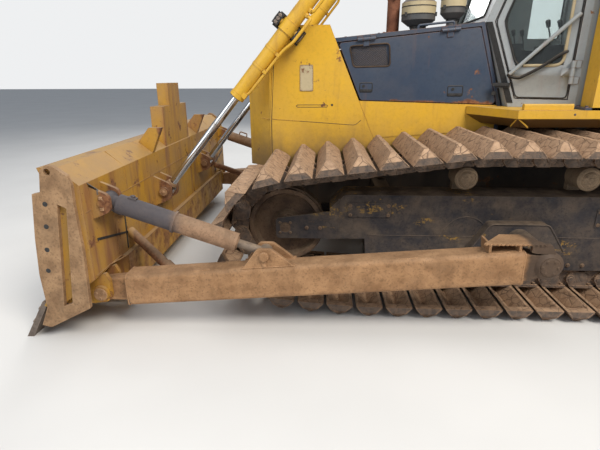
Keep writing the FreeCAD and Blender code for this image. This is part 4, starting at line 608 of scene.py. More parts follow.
def middle_of(pair):
    return Vector((pair[0], 0, pair[1]))


# Tracks: the belt line of the pins, then a hollow shoe, rails, pin bosses and bolts for each link

SHOES, SHOE_BASE, SHOE_HEIGHT, SHOE_HALF = 44, 0.093, 0.1, 0.475
PIN_TO_SHOE, BEVEL, WALL, GAUGE = 0.07, 0.052, 0.014, 2.05
PIN_PHASE, HALF_PITCH = 0.35, 0.1016
IDLER, SPROCKET = (1.12, 0.565, 0.35), (-2.14, 0.615, 0.445)
CARRIERS = ((-0.176, 0.938, 0.142), (-1.022, 0.938, 0.142))
WHEELS = (IDLER, *CARRIERS, SPROCKET, (-1.59, 0.342, 0.172), (0.56, 0.342, 0.172))


def belt_pins():
    """Pins of the track in the X-Z plane, evenly spaced round the wheels."""
    count = len(WHEELS)
    touches = []
    for index in range(count):
        x1, z1, r1 = WHEELS[index]
        x2, z2, r2 = WHEELS[(index + 1) % count]
        touches.append(math.atan2(z2 - z1, x2 - x1) - math.acos((r1 - r2) / math.hypot(x2 - x1, z2 - z1)))
    stretches = []
    for index in range(count):
        x, z, radius = WHEELS[index]
        begin, end = touches[index - 1], touches[index]
        while end < begin - 1e-9:
            end += 2 * math.pi
        stretches.append((radius * (end - begin), ("arc", x, z, radius, begin)))
        x2, z2, r2 = WHEELS[(index + 1) % count]
        start = (x + radius * math.cos(end), z + radius * math.sin(end))
        finish = (x2 + r2 * math.cos(end), z2 + r2 * math.sin(end))
        stretches.append((math.dist(start, finish), ("run", start, finish)))
    total = sum(length for length, form in stretches)
    pins = []
    for index in range(SHOES):
        distance = total / SHOES * (index + PIN_PHASE)
        for length, form in stretches:
            if distance > length:
                distance -= length
                continue
            if form[0] == "arc":
                x, z, radius, begin = form[1:]
                angle = begin + distance / radius
                pins.append((x + radius * math.cos(angle), z + radius * math.sin(angle)))
            else:
                start, finish = form[1:]
                share = distance / length
                pins.append(tuple(near + (far - near) * share for near, far in zip(start, finish)))
            break
    return pins


def link_places():
    """For each link, the matrix from its own frame, x along the track and z outwards, to the machine's."""
    pins = belt_pins()
    places = []
    for index, pin in enumerate(pins):
        following = pins[(index + 1) % len(pins)]
        forward = Vector((following[0] - pin[0], 0, following[1] - pin[1])).normalized()
        outward = Vector((forward.z, 0, -forward.x))
        across = outward.cross(forward)
        middle = Vector(((pin[0] + following[0]) / 2, 0, (pin[1] + following[1]) / 2)) + outward * PIN_TO_SHOE
        turn = Matrix((forward, across, outward)).transposed().to_4x4()
        places.append(Matrix.Translation(middle) @ turn)
    return places


def hollow_shoe(link):
    """Triangular shoe with slanted ends, open underneath."""
    half, tall, wide, crest = SHOE_BASE, SHOE_HEIGHT, SHOE_HALF, 0.012
    knee = tall * 0.45
    side_knee = crest + (half - crest) * (1 - knee / tall)
    verts, faces = link.form.verts, link.form.faces
    outer, inner = {}, {}
    for sign in (-1, 1):
        end, top = sign * wide, sign * (wide - BEVEL)
        outer[sign] = [verts.new(corner) for corner in (
            (-half, end, 0), (-side_knee, end, knee), (-crest, top, tall), (crest, top, tall),
            (side_knee, end, knee), (half, end, 0))]
        y = sign * (wide - BEVEL - 0.004)
        roof = tall - WALL * 1.6
        inner[sign] = [verts.new(corner) for corner in (
            (-half + WALL * 1.5, y, 0), (-0.006, y, roof), (0.006, y, roof), (half - WALL * 1.5, y, 0))]
    for index in range(5):
        faces.new((outer[-1][index], outer[-1][index + 1], outer[1][index + 1], outer[1][index]))
    for index in range(3):
        faces.new((inner[-1][index], inner[1][index], inner[1][index + 1], inner[-1][index + 1]))
    for sign in (-1, 1):
        a, b, c, d, e, f = outer[sign]
        faces.new((a, b, e, f))
        faces.new((b, c, d, e))
        faces.new(inner[sign])
        faces.new((a, f, inner[sign][3], inner[sign][0]))
    faces.new((outer[-1][0], inner[-1][0], inner[1][0], outer[1][0]))
    faces.new((outer[-1][5], inner[-1][3], inner[1][3], outer[1][5]))
    for sign in (-1, 1):
        y = sign * (wide - 0.0015)
        for way in (-1, 1):
            link.rod((way * (half - 0.006), y, 0.005), (way * (side_knee - 0.003), y, knee), 0.0045, 6)
            top = (way * crest, sign * (wide - BEVEL + 0.001), tall - 0.007)
            link.rod((way * (side_knee - 0.003), y, knee), top, 0.0045, 6)


def link_form():
    """One link in its own frame: shoe, four offset link plates, pin bosses, bushing and bolts."""
    link = Piece("link")
    hollow_shoe(link)
    pin = -PIN_TO_SHOE
    for side in (-1, 1):
        for way, near, far in ((-1, 0.054, 0.079), (1, 0.075, 0.1)):
            outline = ((-0.022, -0.004), (0.094, -0.004), (0.118, -0.04), (0.124, -0.098), (0.098, -0.127),
                       (0.01, -0.127), (-0.02, -0.092))
            link.plate([(way * x, side * near, z) for x, z in outline], (0, side * (far - near), 0))
            x = way * HALF_PITCH
            link.rod((x, side * (far - 0.004), pin), (x, side * (far + 0.006), pin), 0.033, 14)
            link.rod((x, side * far, pin), (x, side * (far + 0.011), pin), 0.018, 10)
        link.block((0, side * 0.077, -0.006), (0.15, 0.052, 0.02))
        for x in (-0.05, 0.05):
            link.rod((x, side * 0.088, -0.03), (x, side * 0.088, 0.004), 0.012, 6)
    link.rod((HALF_PITCH, -0.056, pin), (HALF_PITCH, 0.056, pin), 0.031, 14)
    return link.form


def make_tracks():
    pattern = bpy.data.meshes.new("link_pattern")
    form = link_form()
    bmesh.ops.recalc_face_normals(form, faces=form.faces)
    form.to_mesh(pattern)
    form.free()
    places = link_places()
    for word, side in SIDES:
        track = Piece(f"track_{word}_links")
        shift = Matrix.Translation((0, side * GAUGE / 2, 0))
        for place in places:
            before = len(track.form.verts)
            track.form.from_mesh(pattern)
            track.form.verts.ensure_lookup_table()
            bmesh.ops.transform(track.form, matrix=shift @ place, verts=track.form.verts[before:])
        track.place("track_steel", "tractor", "track_steel", instead_of=f"track_{word}")
    bpy.data.meshes.remove(pattern)


# Wheels and track frames

def make_wheel_details():
    """Bolt rings, hub covers and grease caps on sprockets, idlers and carrier rollers."""
    wheels = Piece("wheel_bolts")
    x, z = SPROCKET[:2]
    wheels.bolts(ring_of((x, 1.165, z), ALONG, UP, 0.118, 12), ACROSS, 0.012, 0.012)
    wheels.rod((x, 1.163, z), (x, 1.176, z), 0.078, 32, 0.07)
    wheels.bolts(ring_of((x, 1.175, z), ALONG, UP, 0.054, 6), ACROSS, 0.008, 0.008)
    wheels.bolts(ring_of((x, 1.11, z), ALONG, UP, 0.236, 16, 0.2), (0, 1, 0), 0.012, 0.024)
    wheels.bolts(ring_of((x, 1.057, z), ALONG, UP, 0.355, 20, 0.1), ACROSS, 0.014, 0.012)
    x, z = IDLER[:2]
    wheels.bolts(ring_of((x, 1.111, z), ALONG, UP, 0.076, 8), ACROSS, 0.009, 0.009)
    wheels.mirror()
    wheels.place("roller_steel", "tractor", "arm_steel")
    caps = Piece("roller_caps")
    for carrier in CARRIERS:
        x, z = carrier[:2]
        caps.rod((x, 1.139, z), (x, 1.146, z), 0.047, 28, 0.043)
        caps.rod((x, 1.144, z), (x, 1.151, z), 0.02, 16, 0.015)
        caps.bolts(ring_of((x, 1.146, z), ALONG, UP, 0.034, 3, 0.5), ACROSS, 0.0055, 0.004)
        caps.tube(ring_of((x, 1.1335, z), ALONG, UP, 0.066, 14), 0.003, 0.01, 6, closed=True)
    caps.mirror()
    caps.place("roller_tan", "tractor", "frame_paint")


def make_frame_details():
    """Welds, bolts and covers on the track frames, the struts' brackets and the trunnions."""
    y = FRAME_Y
    welds = Piece("frame_welds")
    welds.tube([(0.727, y, 0.79), (0.724, y, 0.64), (0.721, y, 0.5)], 0.0045, 0.02, 6)
    arc = [(-0.203 + 0.165 * math.cos(a), y, 0.5 + 0.165 * math.sin(a)) for a in
           [math.pi * share / 14 for share in range(15)]]
    welds.tube(arc, 0.0045, 0.01, 6)
    welds.tube([(-1.56, y, 0.514), (0.5, y, 0.514)], 0.004, 0.01, 6)
    welds.tube([(-0.875, 1.252, 0.442), (-0.745, 1.252, 0.64), (-0.345, 1.252, 0.64), (-0.215, 1.252, 0.442)],
               0.005, 0.03, 6)
    for x1, x2, z1, z2 in ((0.345, 0.66, 0.655, 0.76), (-1.38, -1.1, 0.6, 0.73)):
        welds.plate([(x1, y, z1), (x2, y, z1), (x2, y, z2), (x1, y, z2)], (0, 0.008, 0))
    corners = [(x, y1, 0.822) for x, y1 in ((-1.595, 0.895), (-1.45, 0.895), (-1.45, 1.155), (-1.595, 1.155))]
    welds.plate(corners, (0, 0, 0.012))
    welds.mirror()
    welds.place("side_beam", "tractor", "frame_paint")
    bolts = Piece("frame_bolts")
    for x, z in ((0.365, 0.672), (0.64, 0.672), (0.365, 0.743), (0.64, 0.743),
                 (-1.36, 0.618), (-1.12, 0.618), (-1.36, 0.712), (-1.12, 0.712)):
        bolts.bolt((x, y + 0.008, z), ACROSS, 0.01, 0.009)
    step = (-1.59 - 0.38) / 7
    for index in range(8):
        x = 0.38 + step * index
        for way in (-0.052, 0.052):
            bolts.bolt((x + way, y, 0.3), ACROSS, 0.012, 0.012)
    hub, z = IDLER[:2]
    bolts.bolts(ring_of((hub, y, z), ALONG, UP, 0.054, 4, 0.785), ACROSS, 0.008, 0.008)
    for x in (0.86, 0.96):
        bolts.bolt((x, y, z), ACROSS, 0.011, 0.011)
    bolts.mirror()
    bolts.place("roller_steel", "tractor", "frame_paint")


# Blade, push arms and braces

def make_blade_details():
    """Bolts of the cutting edge, holes of the end plates, welds, slits and hose guard on the back."""
    bolts = Piece("blade_bolts")
    facing = Vector((0.861, 0, 0.509))
    for index in range(10):
        y = 0.095 + 0.19 * index
        for share in (0.42, 0.8):
            face = Vector((2.792 - 0.149 * share, y, 0.01 + 0.252 * share))
            bolts.rod(face - facing * 0.004, face + facing * 0.005, 0.019, 16, 0.016)
            bolts.rod(face, face + facing * 0.0065, 0.008, 4)
    bolts.mirror()
    bolts.place("wear_steel", "blade_frame", "wear_steel")
    holes = Piece("blade_end_holes")
    for x, z in ((2.47, 0.93), (2.49, 0.79), (2.515, 0.64), (2.535, 0.5)):
        holes.rod((x, 1.843, z), (x, 1.8503, z), 0.0155, 24)
    holes.mirror()
    holes.place("dark_steel", "blade_frame", "dark_steel")
    back = BLADE_BACK
    welds = Piece("blade_welds")
    welds.tube([(back, 0, 0.862), (back, 1.8, 0.862)], 0.003, 0.01, 6)
    welds.tube([(back - 0.001, 1.8, 0.446), (back - 0.001, 1.448, 0.44)], 0.004, 0.01, 6)
    welds.tube([(2.213, 1.443, 0.19), (2.213, 1.443, 0.44)], 0.0035, 0.01, 6)
    welds.tube([(back + 0.001, 1.64, 0.447), (2.214, 1.44, 0.444), (2.21, 0.0, 0.442)], 0.004, 0.02, 6)
    for y in (0.33, 1.1, 1.47):
        welds.tube([(back, y, 0.46), (back, y, 0.85)], 0.004, 0.01, 6)
    for y in (0.42, 1.22):
        welds.tube([(back, y, 0.87), (back, y, 1.03), (2.388, y, 1.138)], 0.004, 0.02, 6)
    welds.mirror()
    welds.place("blade_paint", "blade_frame", "yellow_paint")
    slits = Piece("blade_slits")
    slits.plate([(back + 0.002, 1.72, 0.672), (back + 0.002, 1.3, 0.572), (back + 0.002, 1.3, 0.558),
                 (back + 0.002, 1.72, 0.655)], (-0.006, 0, 0))
    slits.plate([(back + 0.002, 1.326, 0.707), (back + 0.002, 1.339, 0.45), (back + 0.002, 1.324, 0.45),
                 (back + 0.002, 1.312, 0.707)], (-0.006, 0, 0))
    slits.mirror()
    slits.place("dark_steel", "blade_frame", "dark_steel")
    guards = Piece("blade_hose_guard")
    guards.plate([(2.205, 1.73, 0.99), (2.262, 1.735, 1.03), (2.262, 1.5, 0.85), (2.205, 1.5, 0.818)],
                 (0.006, 0, 0.01))
    guards.plate([(2.205, 1.73, 0.99), (2.205, 1.5, 0.818), (2.205, 1.5, 0.786), (2.205, 1.73, 0.958)],
                 (0.008, 0, 0))
    guards.tube([(2.235, 1.69, 0.95), (2.232, 1.6, 0.88), (2.232, 1.47, 0.79), (2.236, 1.4, 0.76),
                 (2.25, 1.33, 0.76)], 0.011, 0.04)
    guards.tube([(2.235, 1.69, 0.925), (2.232, 1.6, 0.852), (2.232, 1.47, 0.762), (2.236, 1.4, 0.73),
                 (2.25, 1.33, 0.73)], 0.011, 0.04)
    guards.place("grey_steel", "blade_frame", "dark_steel")
    caps = Piece("blade_pin_caps")
    x, z = BLADE_PIN
    caps.rod((x, 1.753, z), (x, 1.76, z), 0.046, 28, 0.041)
    caps.bolts(ring_of((x, 1.759, z), ALONG, UP, 0.026, 3, 0.5), ACROSS, 0.007, 0.006)
    x, z = BRACE_PIN
    caps.block((x, 1.732, z), (0.024, 0.006, 0.09))
    caps.bolt((x, 1.735, z + 0.036), ACROSS, 0.008, 0.007)
    x, z = LIFT_EYE
    for y, end in ((0.75, 0.755), (0.53, 0.525)):
        caps.rod((x, y, z), (x, end, z), 0.031, 20)
    caps.bolt((x, 0.756, z), ACROSS, 0.01, 0.008)
    caps.mirror()
    caps.place("arm_steel", "blade_frame", "arm_steel")


def arm_height(x):
    """Height of the push arm's middle line."""
    (x0, z0), (x1, z1) = TRUNNION, BLADE_PIN
    return z0 + (z1 - z0) * (x - x0) / (x1 - x0)


def make_arm_details():
    """Socket caps, welds round the end plates and wear on the push arms."""
    for word, side, body in (("left", 1, "arm_left"), ("right", -1, "blade_frame")):
        arm = Piece(f"arm_details_{word}")
        facing = (0, side, 0)
        (x, z), y = TRUNNION, side * 1.7225
        arm.rod((x, y, z), (x, y + side * 0.006, z), 0.06, 28, 0.056)
        arm.bolts(ring_of((x, y + side * 0.005, z), ALONG, UP, 0.045, 6), facing, 0.0075, 0.006)
        for x in (-0.386, 2.116):
            middle = arm_height(x)
            corners = [(x, side * (ARM_Y + a), middle + b) for a, b in
                       ((-0.083, -0.108), (0.083, -0.108), (0.083, 0.108), (-0.083, 0.108))]
            arm.tube(corners, 0.0055, 0.03, 8, closed=True)
        for x in (-0.3, 0.25, 1.000, 1.56):
            z = arm_height(x) + 0.1095
            bead = ((0, 1.7, 0), (0.06, 1.708, 0.006), (0.12, 1.706, 0.011))
            arm.tube([(x + ahead, side * y, z - drop) for ahead, y, drop in bead], 0.004, 0.02, 6)
        for ear in (1.571, 1.599, 1.691, 1.719):
            z = arm_height(ARM_EAR[0])
            arm.tube([(1.01, side * ear, z + 0.128), (1.35, side * ear, z + 0.1)], 0.0045, 0.02, 6)
        x, z = ARM_EAR
        arm.rod((x, side * 1.732, z), (x, side * 1.738, z), 0.031, 22, 0.028)
        arm.block((x, side * 1.722, z - 0.044), (0.028, 0.008, 0.06))
        arm.bolt((x, side * 1.726, z - 0.063), facing, 0.0075, 0.006)
        arm.place("push_arm", body, "arm_steel")


def make_cylinder_details():
    """Pipes, clamps, glands and bolts on the lift cylinders, the tilt cylinder and the screw brace."""
    top, eye = middle_of(LIFT_TOP), middle_of(LIFT_EYE)
    run = (eye - top).normalized()
    across = Vector((-run.z, 0, run.x))
    lean = (0, math.atan2(-run.z, run.x), 0)
    for word, side in SIDES:
        def at(s, a, b):
            return top + run * s + across * a + Vector((0, side * (LIFT_Y + b), 0))
        pipe = Piece(f"lift_pipe_{word}")
        pipe.tube([at(-0.15, -0.058, 0.03), at(-0.15, -0.098, 0.052), at(-0.06, -0.1, 0.066),
                   at(0.06, -0.1, 0.066), at(0.15, -0.074, 0.048), at(0.56, -0.066, 0.04),
                   at(0.6, -0.048, 0.028)], 0.012, 0.04)
        pipe.tube([at(-0.19, -0.058, 0.03), at(-0.2, -0.08, 0.04), at(-0.54, -0.076, 0.034),
                   at(-0.58, -0.05, 0.026)], 0.012, 0.04)
        for s in (-0.15, -0.192):
            pipe.rod(at(s, -0.05, 0.026), at(s, -0.072, 0.037), 0.019, 6)
        for s in (0.36, 0.2, -0.38):
            pipe.rod(at(s - 0.012, 0, 0), at(s + 0.012, 0, 0), 0.0605, 28)
            pipe.block(at(s, -0.062, 0.036), (0.028, 0.046, 0.034), lean)
        pipe.block(at(0.602, -0.044, 0.026), (0.044, 0.05, 0.044), lean)
        pipe.rod(at(0.618, 0, 0), at(0.656, 0, 0), 0.0625, 28)
        pipe.rod(at(-0.63, 0, 0), at(-0.612, 0, 0), 0.061, 28)
        pipe.place("yellow_paint", f"lift_barrel_{word}", "yellow_paint")
        head = Piece(f"lift_head_{word}")
        for s, facing in ((0.656, run), (-0.63, -run)):
            head.bolts(ring_of(at(s, 0, 0), across, ACROSS, 0.046, 6, 0.3), facing, 0.0075, 0.008)
        head.rod(at(-0.634, 0, 0), at(-0.629, 0, 0), 0.03, 20)
        head.rod(at(0.65, 0, 0), at(0.664, 0, 0), 0.038, 24, 0.034)
        head.place("grey_steel", f"lift_barrel_{word}", "dark_steel")
        yoke = Piece(f"lift_yoke_bolts_{word}")
        for a in (-0.096, 0.096):
            for s in (-0.028, 0.0, 0.028):
                yoke.bolt(at(s, a, 0.044), (0, side, 0), 0.0095, 0.012)
            yoke.rod(at(0, a * 1.24, 0), at(0, a * 1.3, 0), 0.03, 20, 0.026)
        yoke.place("wear_steel", f"lift_yoke_{word}", "dark_steel")
        ball = Piece(f"lift_rod_eye_{word}")
        ball.rod(at(1.5665, 0, 0), at(1.59, 0, 0), 0.04, 24, 0.05)
        ball.tube(ring_of(at(1.6466, 0, 0), ALONG, UP, 0.0565, 20), 0.004, 0.01, 6, closed=True)
        ball.place("arm_steel", f"lift_rod_{word}", "rod_chrome")

    front, rear = middle_of(BRACE_PIN), middle_of(ARM_EAR)
    run = (rear - front).normalized()
    across = Vector((run.z, 0, -run.x))
    lean = (0, math.atan2(-run.z, run.x), 0)

    def on_brace(side, s, a, b=0.0):
        return front + run * s + across * a + Vector((0, side * ARM_Y + b, 0))
    tilt = Piece("tilt_fittings")
    tilt.rod(on_brace(1, 0.852, 0), on_brace(1, 0.862, 0), 0.045, 24, 0.04)
    tilt.rod(on_brace(1, 0.838, 0), on_brace(1, 0.854, 0), 0.0635, 28)
    tilt.block(on_brace(1, 0.15, 0.06), (0.05, 0.044, 0.02), lean)
    tilt.rod(on_brace(1, 0.15, 0.066), on_brace(1, 0.15, 0.082), 0.014, 6)
    tilt.place("tilt_paint", "tilt_barrel", "arm_steel")
    screw = Piece("screw_fittings")
    screw.rod(on_brace(-1, 0.822, 0), on_brace(-1, 0.854, 0), 0.067, 28)
    screw.rod(on_brace(-1, 0.42, 0), on_brace(-1, 0.49, 0), 0.069, 6)
    for s in (0.2, 0.7):
        screw.tube([on_brace(-1, s, 0.055), on_brace(-1, s, 0.1), on_brace(-1, s + 0.1, 0.1),
                    on_brace(-1, s + 0.1, 0.055)], 0.008, 0.02)
    for count in range(13):
        s = 0.862 + 0.0105 * count
        screw.rod(on_brace(-1, s, 0), on_brace(-1, s + 0.006, 0), 0.0372, 20, 0.0345)
    screw.place("arm_steel", "blade_frame", "arm_steel")


# Radiator guard, hood and engine side

def hood_z(x):
    return 1.915 - 0.0924 * (x - 0.765)


def make_guard_details():
    """Mesh, beads and seams of the radiator guard."""
    mesh = Piece("guard_mesh")
    foot, head = Vector((1.48, 0, 1.64)), Vector((1.22, 0, 1.96))
    run = (head - foot).normalized()
    inward = Vector((-run.z, 0, run.x))
    start = foot + run * 0.066 + inward * 0.0235 - ACROSS * 0.313
    mesh.lattice(start, ACROSS * 0.626, run * 0.288, 0.03, 0.0024)
    mesh.place("mesh_steel", "tractor", "dark_steel")
    trim = Piece("guard_trim")
    for s in (0.062, 0.358):
        edge = foot + run * s - inward * 0.001
        trim.tube([edge - ACROSS * 0.318, edge + ACROSS * 0.318], 0.006, 0.01, 6)
    for y in (-0.318, 0.318):
        low, high = foot + run * 0.062 - inward * 0.001, foot + run * 0.358 - inward * 0.001
        trim.tube([low + ACROSS * y, high + ACROSS * y], 0.006, 0.01, 6)
    trim.tube([(1.481, -0.337, 0.993), (1.481, 0.337, 0.993), (1.481, 0.337, 1.607), (1.481, -0.337, 1.607)],
              0.006, 0.03, 8, closed=True)
    for side in (1, -1):
        y = side * GUARD_Y
        trim.tube([(1.258, y, 1.75), (1.27, y, 1.52), (1.287, y, 1.29), (1.29, y, 0.93)], 0.0065, 0.02, 8)
        trim.tube([(1.359, y, 1.306), (1.287, y, 1.297), (1.042, y, 1.282)], 0.0035, 0.02, 6)
    trim.place("yellow_paint", "tractor", "yellow_paint")
    seams = Piece("guard_seams")
    for side in (1, -1):
        y = side * 0.5308
        for low, high in (((1.281, 1.29), (1.2525, 1.752)), ((1.284, 0.93), (1.281, 1.29))):
            seams.plate([(low[0], y, low[1]), (high[0], y, high[1]), (high[0] - 0.0055, y, high[1]),
                         (low[0] - 0.0055, y, low[1])], (0, side * 0.0016, 0))
    seams.place("dark_steel", "tractor", "dark_steel")


def make_side_details():
    """Latch slots, blank plate and panel lines of the lower side panels, and vents of the hood doors."""
    slots = Piece("side_slots")
    plates = Piece("side_plates")
    for side in (1, -1):
        y = side * GUARD_Y
        shape = [(1.074, 1.402), (1.062, 1.411), (0.824, 1.411), (0.812, 1.402), (0.824, 1.393),
                 (1.062, 1.393)]
        slots.tube([(x, y, z) for x, z in shape], 0.0022, 0.004, 6, closed=True)
        slots.rod((0.779, y - side * 0.002, 1.41), (0.779, y + side * 0.0012, 1.41), 0.009, 20)
        shape = [(1.359, 1.3045), (1.042, 1.2805), (0.586, 1.2485), (0.539, 1.2885)]
        slots.tube([(x, y, z) for x, z in shape], 0.0022, 0.02, 6)
        shape = [(1.04, 1.718), (0.936, 1.718), (0.935, 1.52), (1.041, 1.52)]
        plates.plate([(x, y, z) for x, z in shape], (0, side * 0.003, 0))
        plates.tube([(x, y + side * 0.003, z) for x, z in shape], 0.0018, 0.012, 6, closed=True)
        for x, z in ((1.03, 1.708), (0.946, 1.708), (0.945, 1.53), (1.031, 1.53)):
            plates.rod((x, y + side * 0.002, z), (x, y + side * 0.005, z), 0.0042, 10)
    slots.place("dark_steel", "tractor", "dark_steel")
    plates.place("cream_paint", "tractor", "yellow_paint")
    for word, side in SIDES:
        door = f"hood_door_{word}"
        y = side * 0.5035
        a, b, c, d = ((0.615, 1.7), (0.65, 1.855), (0.34, 1.875), (0.325, 1.705))
        vent = Piece(f"hood_vent_{word}")
        corner = Vector((a[0] - 0.006, y, a[1] + 0.004))
        vent.lattice(corner, Vector((d[0] - a[0] + 0.012, 0, d[1] - a[1])),
                     Vector((b[0] - a[0], 0, b[1] - a[1] - 0.008)), 0.019, 0.0019)
        vent.tube([(x, side * 0.5198, z) for x, z in (a, b, c, d)], 0.006, 0.03, 8, closed=True)
        vent.place("mesh_steel", door, "dark_steel")
        latch = Piece(f"hood_latches_{word}")
        y = side * 0.52
        for (x1, z1), (x2, z2) in (((0.558, 1.58), (0.459, 1.51)), ((-0.141, 1.554), (-0.259, 1.477))):
            frame_line = [(x1, y, z1), (x2, y, z1), (x2, y, z2), (x1, y, z2)]
            latch.tube(frame_line, 0.0035, 0.012, 8, closed=True)
            x, z = (x1 + x2) / 2, z1 - 0.024
            latch.block((x, y + side * 0.003, z2 + 0.012), (x1 - x2 - 0.008, 0.008, 0.018))
            latch.rod((x + 0.02, y, z), (x + 0.02, y + side * 0.005, z), 0.011, 20)
        latch.place("dark_steel", door, "dark_steel")


def make_top_details():
    """Rail and bolts on the hood, exhaust clamps, precleaner bowls, radiator fins and the engine's pipes."""
    rail = Piece("hood_rail")
    rail.tube([(x, 0.425, hood_z(x) + rise) for x, rise in ((0.11, -0.004), (0.11, 0.032), (-0.165, 0.032),
                                                          (-0.165, -0.004))], 0.009, 0.025)
    for x in (0.68, 0.42, 0.16, -0.1, -0.3):
        for y in (0.46, -0.46):
            rail.bolt((x, y, hood_z(x)), (0.092, 0, 1), 0.009, 0.007)
    rail.place("hood_paint", "tractor", "hood_paint")
    exhaust = Piece("exhaust_details")
    base = hood_z(0.274)
    exhaust.rod((0.274, 0.15, base - 0.004), (0.274, 0.15, base + 0.02), 0.09, 36, 0.084)
    exhaust.bolts(ring_of((0.274, 0.15, base + 0.019), ALONG, ACROSS, 0.07, 6), UP, 0.008, 0.008)
    for z in (2.23, 2.6):
        exhaust.rod((0.274, 0.15, z), (0.274, 0.15, z + 0.024), 0.0565, 36)
        exhaust.block((0.274, 0.212, z + 0.012), (0.02, 0.026, 0.03))
        exhaust.rod((0.256, 0.214, z + 0.012), (0.296, 0.214, z + 0.012), 0.005, 8)
    exhaust.rod((0.274, 0.15, 2.752), (0.274, 0.15, 2.762), 0.0545, 36)
    exhaust.place("exhaust_steel", "tractor", "exhaust_steel")
    bands = Piece("precleaner_bands")
    for x, radius, rise in ((0.084, 0.135, 0.06), (-0.19, 0.098, 0.085)):
        z = hood_z(x) + rise
        for height in (0.058, 0.116):
            bands.rod((x, 0.25, z + height), (x, 0.25, z + height + 0.008), radius + 0.0022, 40)
        bands.rod((x, 0.25, z - 0.034), (x, 0.25, z - 0.02), radius * 0.5, 28)
        bands.rod((x, 0.25, z + 0.189), (x, 0.25, z + 0.199), radius * 0.22, 20, radius * 0.16)
        for place in ring_of((x, 0.25, z + 0.062), ALONG, ACROSS, radius + 0.004, 3, 0.6):
            bands.block(place, (0.018, 0.018, 0.03))
    bands.place("dark_steel", "tractor", "dark_steel")
    bowls = Piece("precleaner_bowls")
    for x, radius, rise in ((0.084, 0.135, 0.06), (-0.19, 0.098, 0.085)):
        z = hood_z(x) + rise
        bowls.rod((x, 0.25, z + 0.062), (x, 0.25, z + 0.152), radius + 0.0012, 44)
    bowls.place("cream_paint", "tractor", "frame_paint")
    core = Piece("radiator_fins")
    for index in range(34):
        z = 1.262 + 0.015 * index
        core.block((1.2805, 0, z), (0.006, 0.78, 0.0035))
    for index in range(12):
        core.block((1.2805, -0.352 + 0.064 * index, 1.51), (0.01, 0.012, 0.52))
    core.place("mesh_steel", "tractor", "dark_steel")
    engine = Piece("engine_details")
    for side in (1, -1):
        for index in range(6):
            x = 0.02 + 0.155 * index
            engine.block((x, side * 0.304, 1.48), (0.105, 0.02, 0.15))
            engine.rod((x, side * 0.3, 1.35), (x, side * 0.33, 1.35), 0.042, 20)
        engine.tube([(-0.08, side * 0.325, 1.59), (0.88, side * 0.325, 1.59)], 0.03, 0.03)
    engine.place("exhaust_steel", "tractor", "dark_steel")


# Cab

CAB_TURN = math.atan2(0.33, 0.594)
CAB_RAKE, CAB_LEAN = 0.33, 0.3
KNEE_X, KNEE_Z = -0.386, 2.018


def cab_front(z):
    """How far forward the cab's front lies at height z."""
    return KNEE_X - (CAB_RAKE * (KNEE_Z - z) if z < KNEE_Z else CAB_LEAN * (z - KNEE_Z))


def on_side(along, depth, z, side=1):
    """A point of the cab's slanted side: along runs backwards from the front corner, so it is negative."""
    x = KNEE_X + math.cos(CAB_TURN) * along - math.sin(CAB_TURN) * depth
    y = 0.5 - math.sin(CAB_TURN) * along - math.cos(CAB_TURN) * depth
    return Vector((x, side * y, z))


def post_edge(z):
    """Where the cab's front corner is at height z, along its slanted side."""
    return (cab_front(z) - KNEE_X) / math.cos(CAB_TURN)


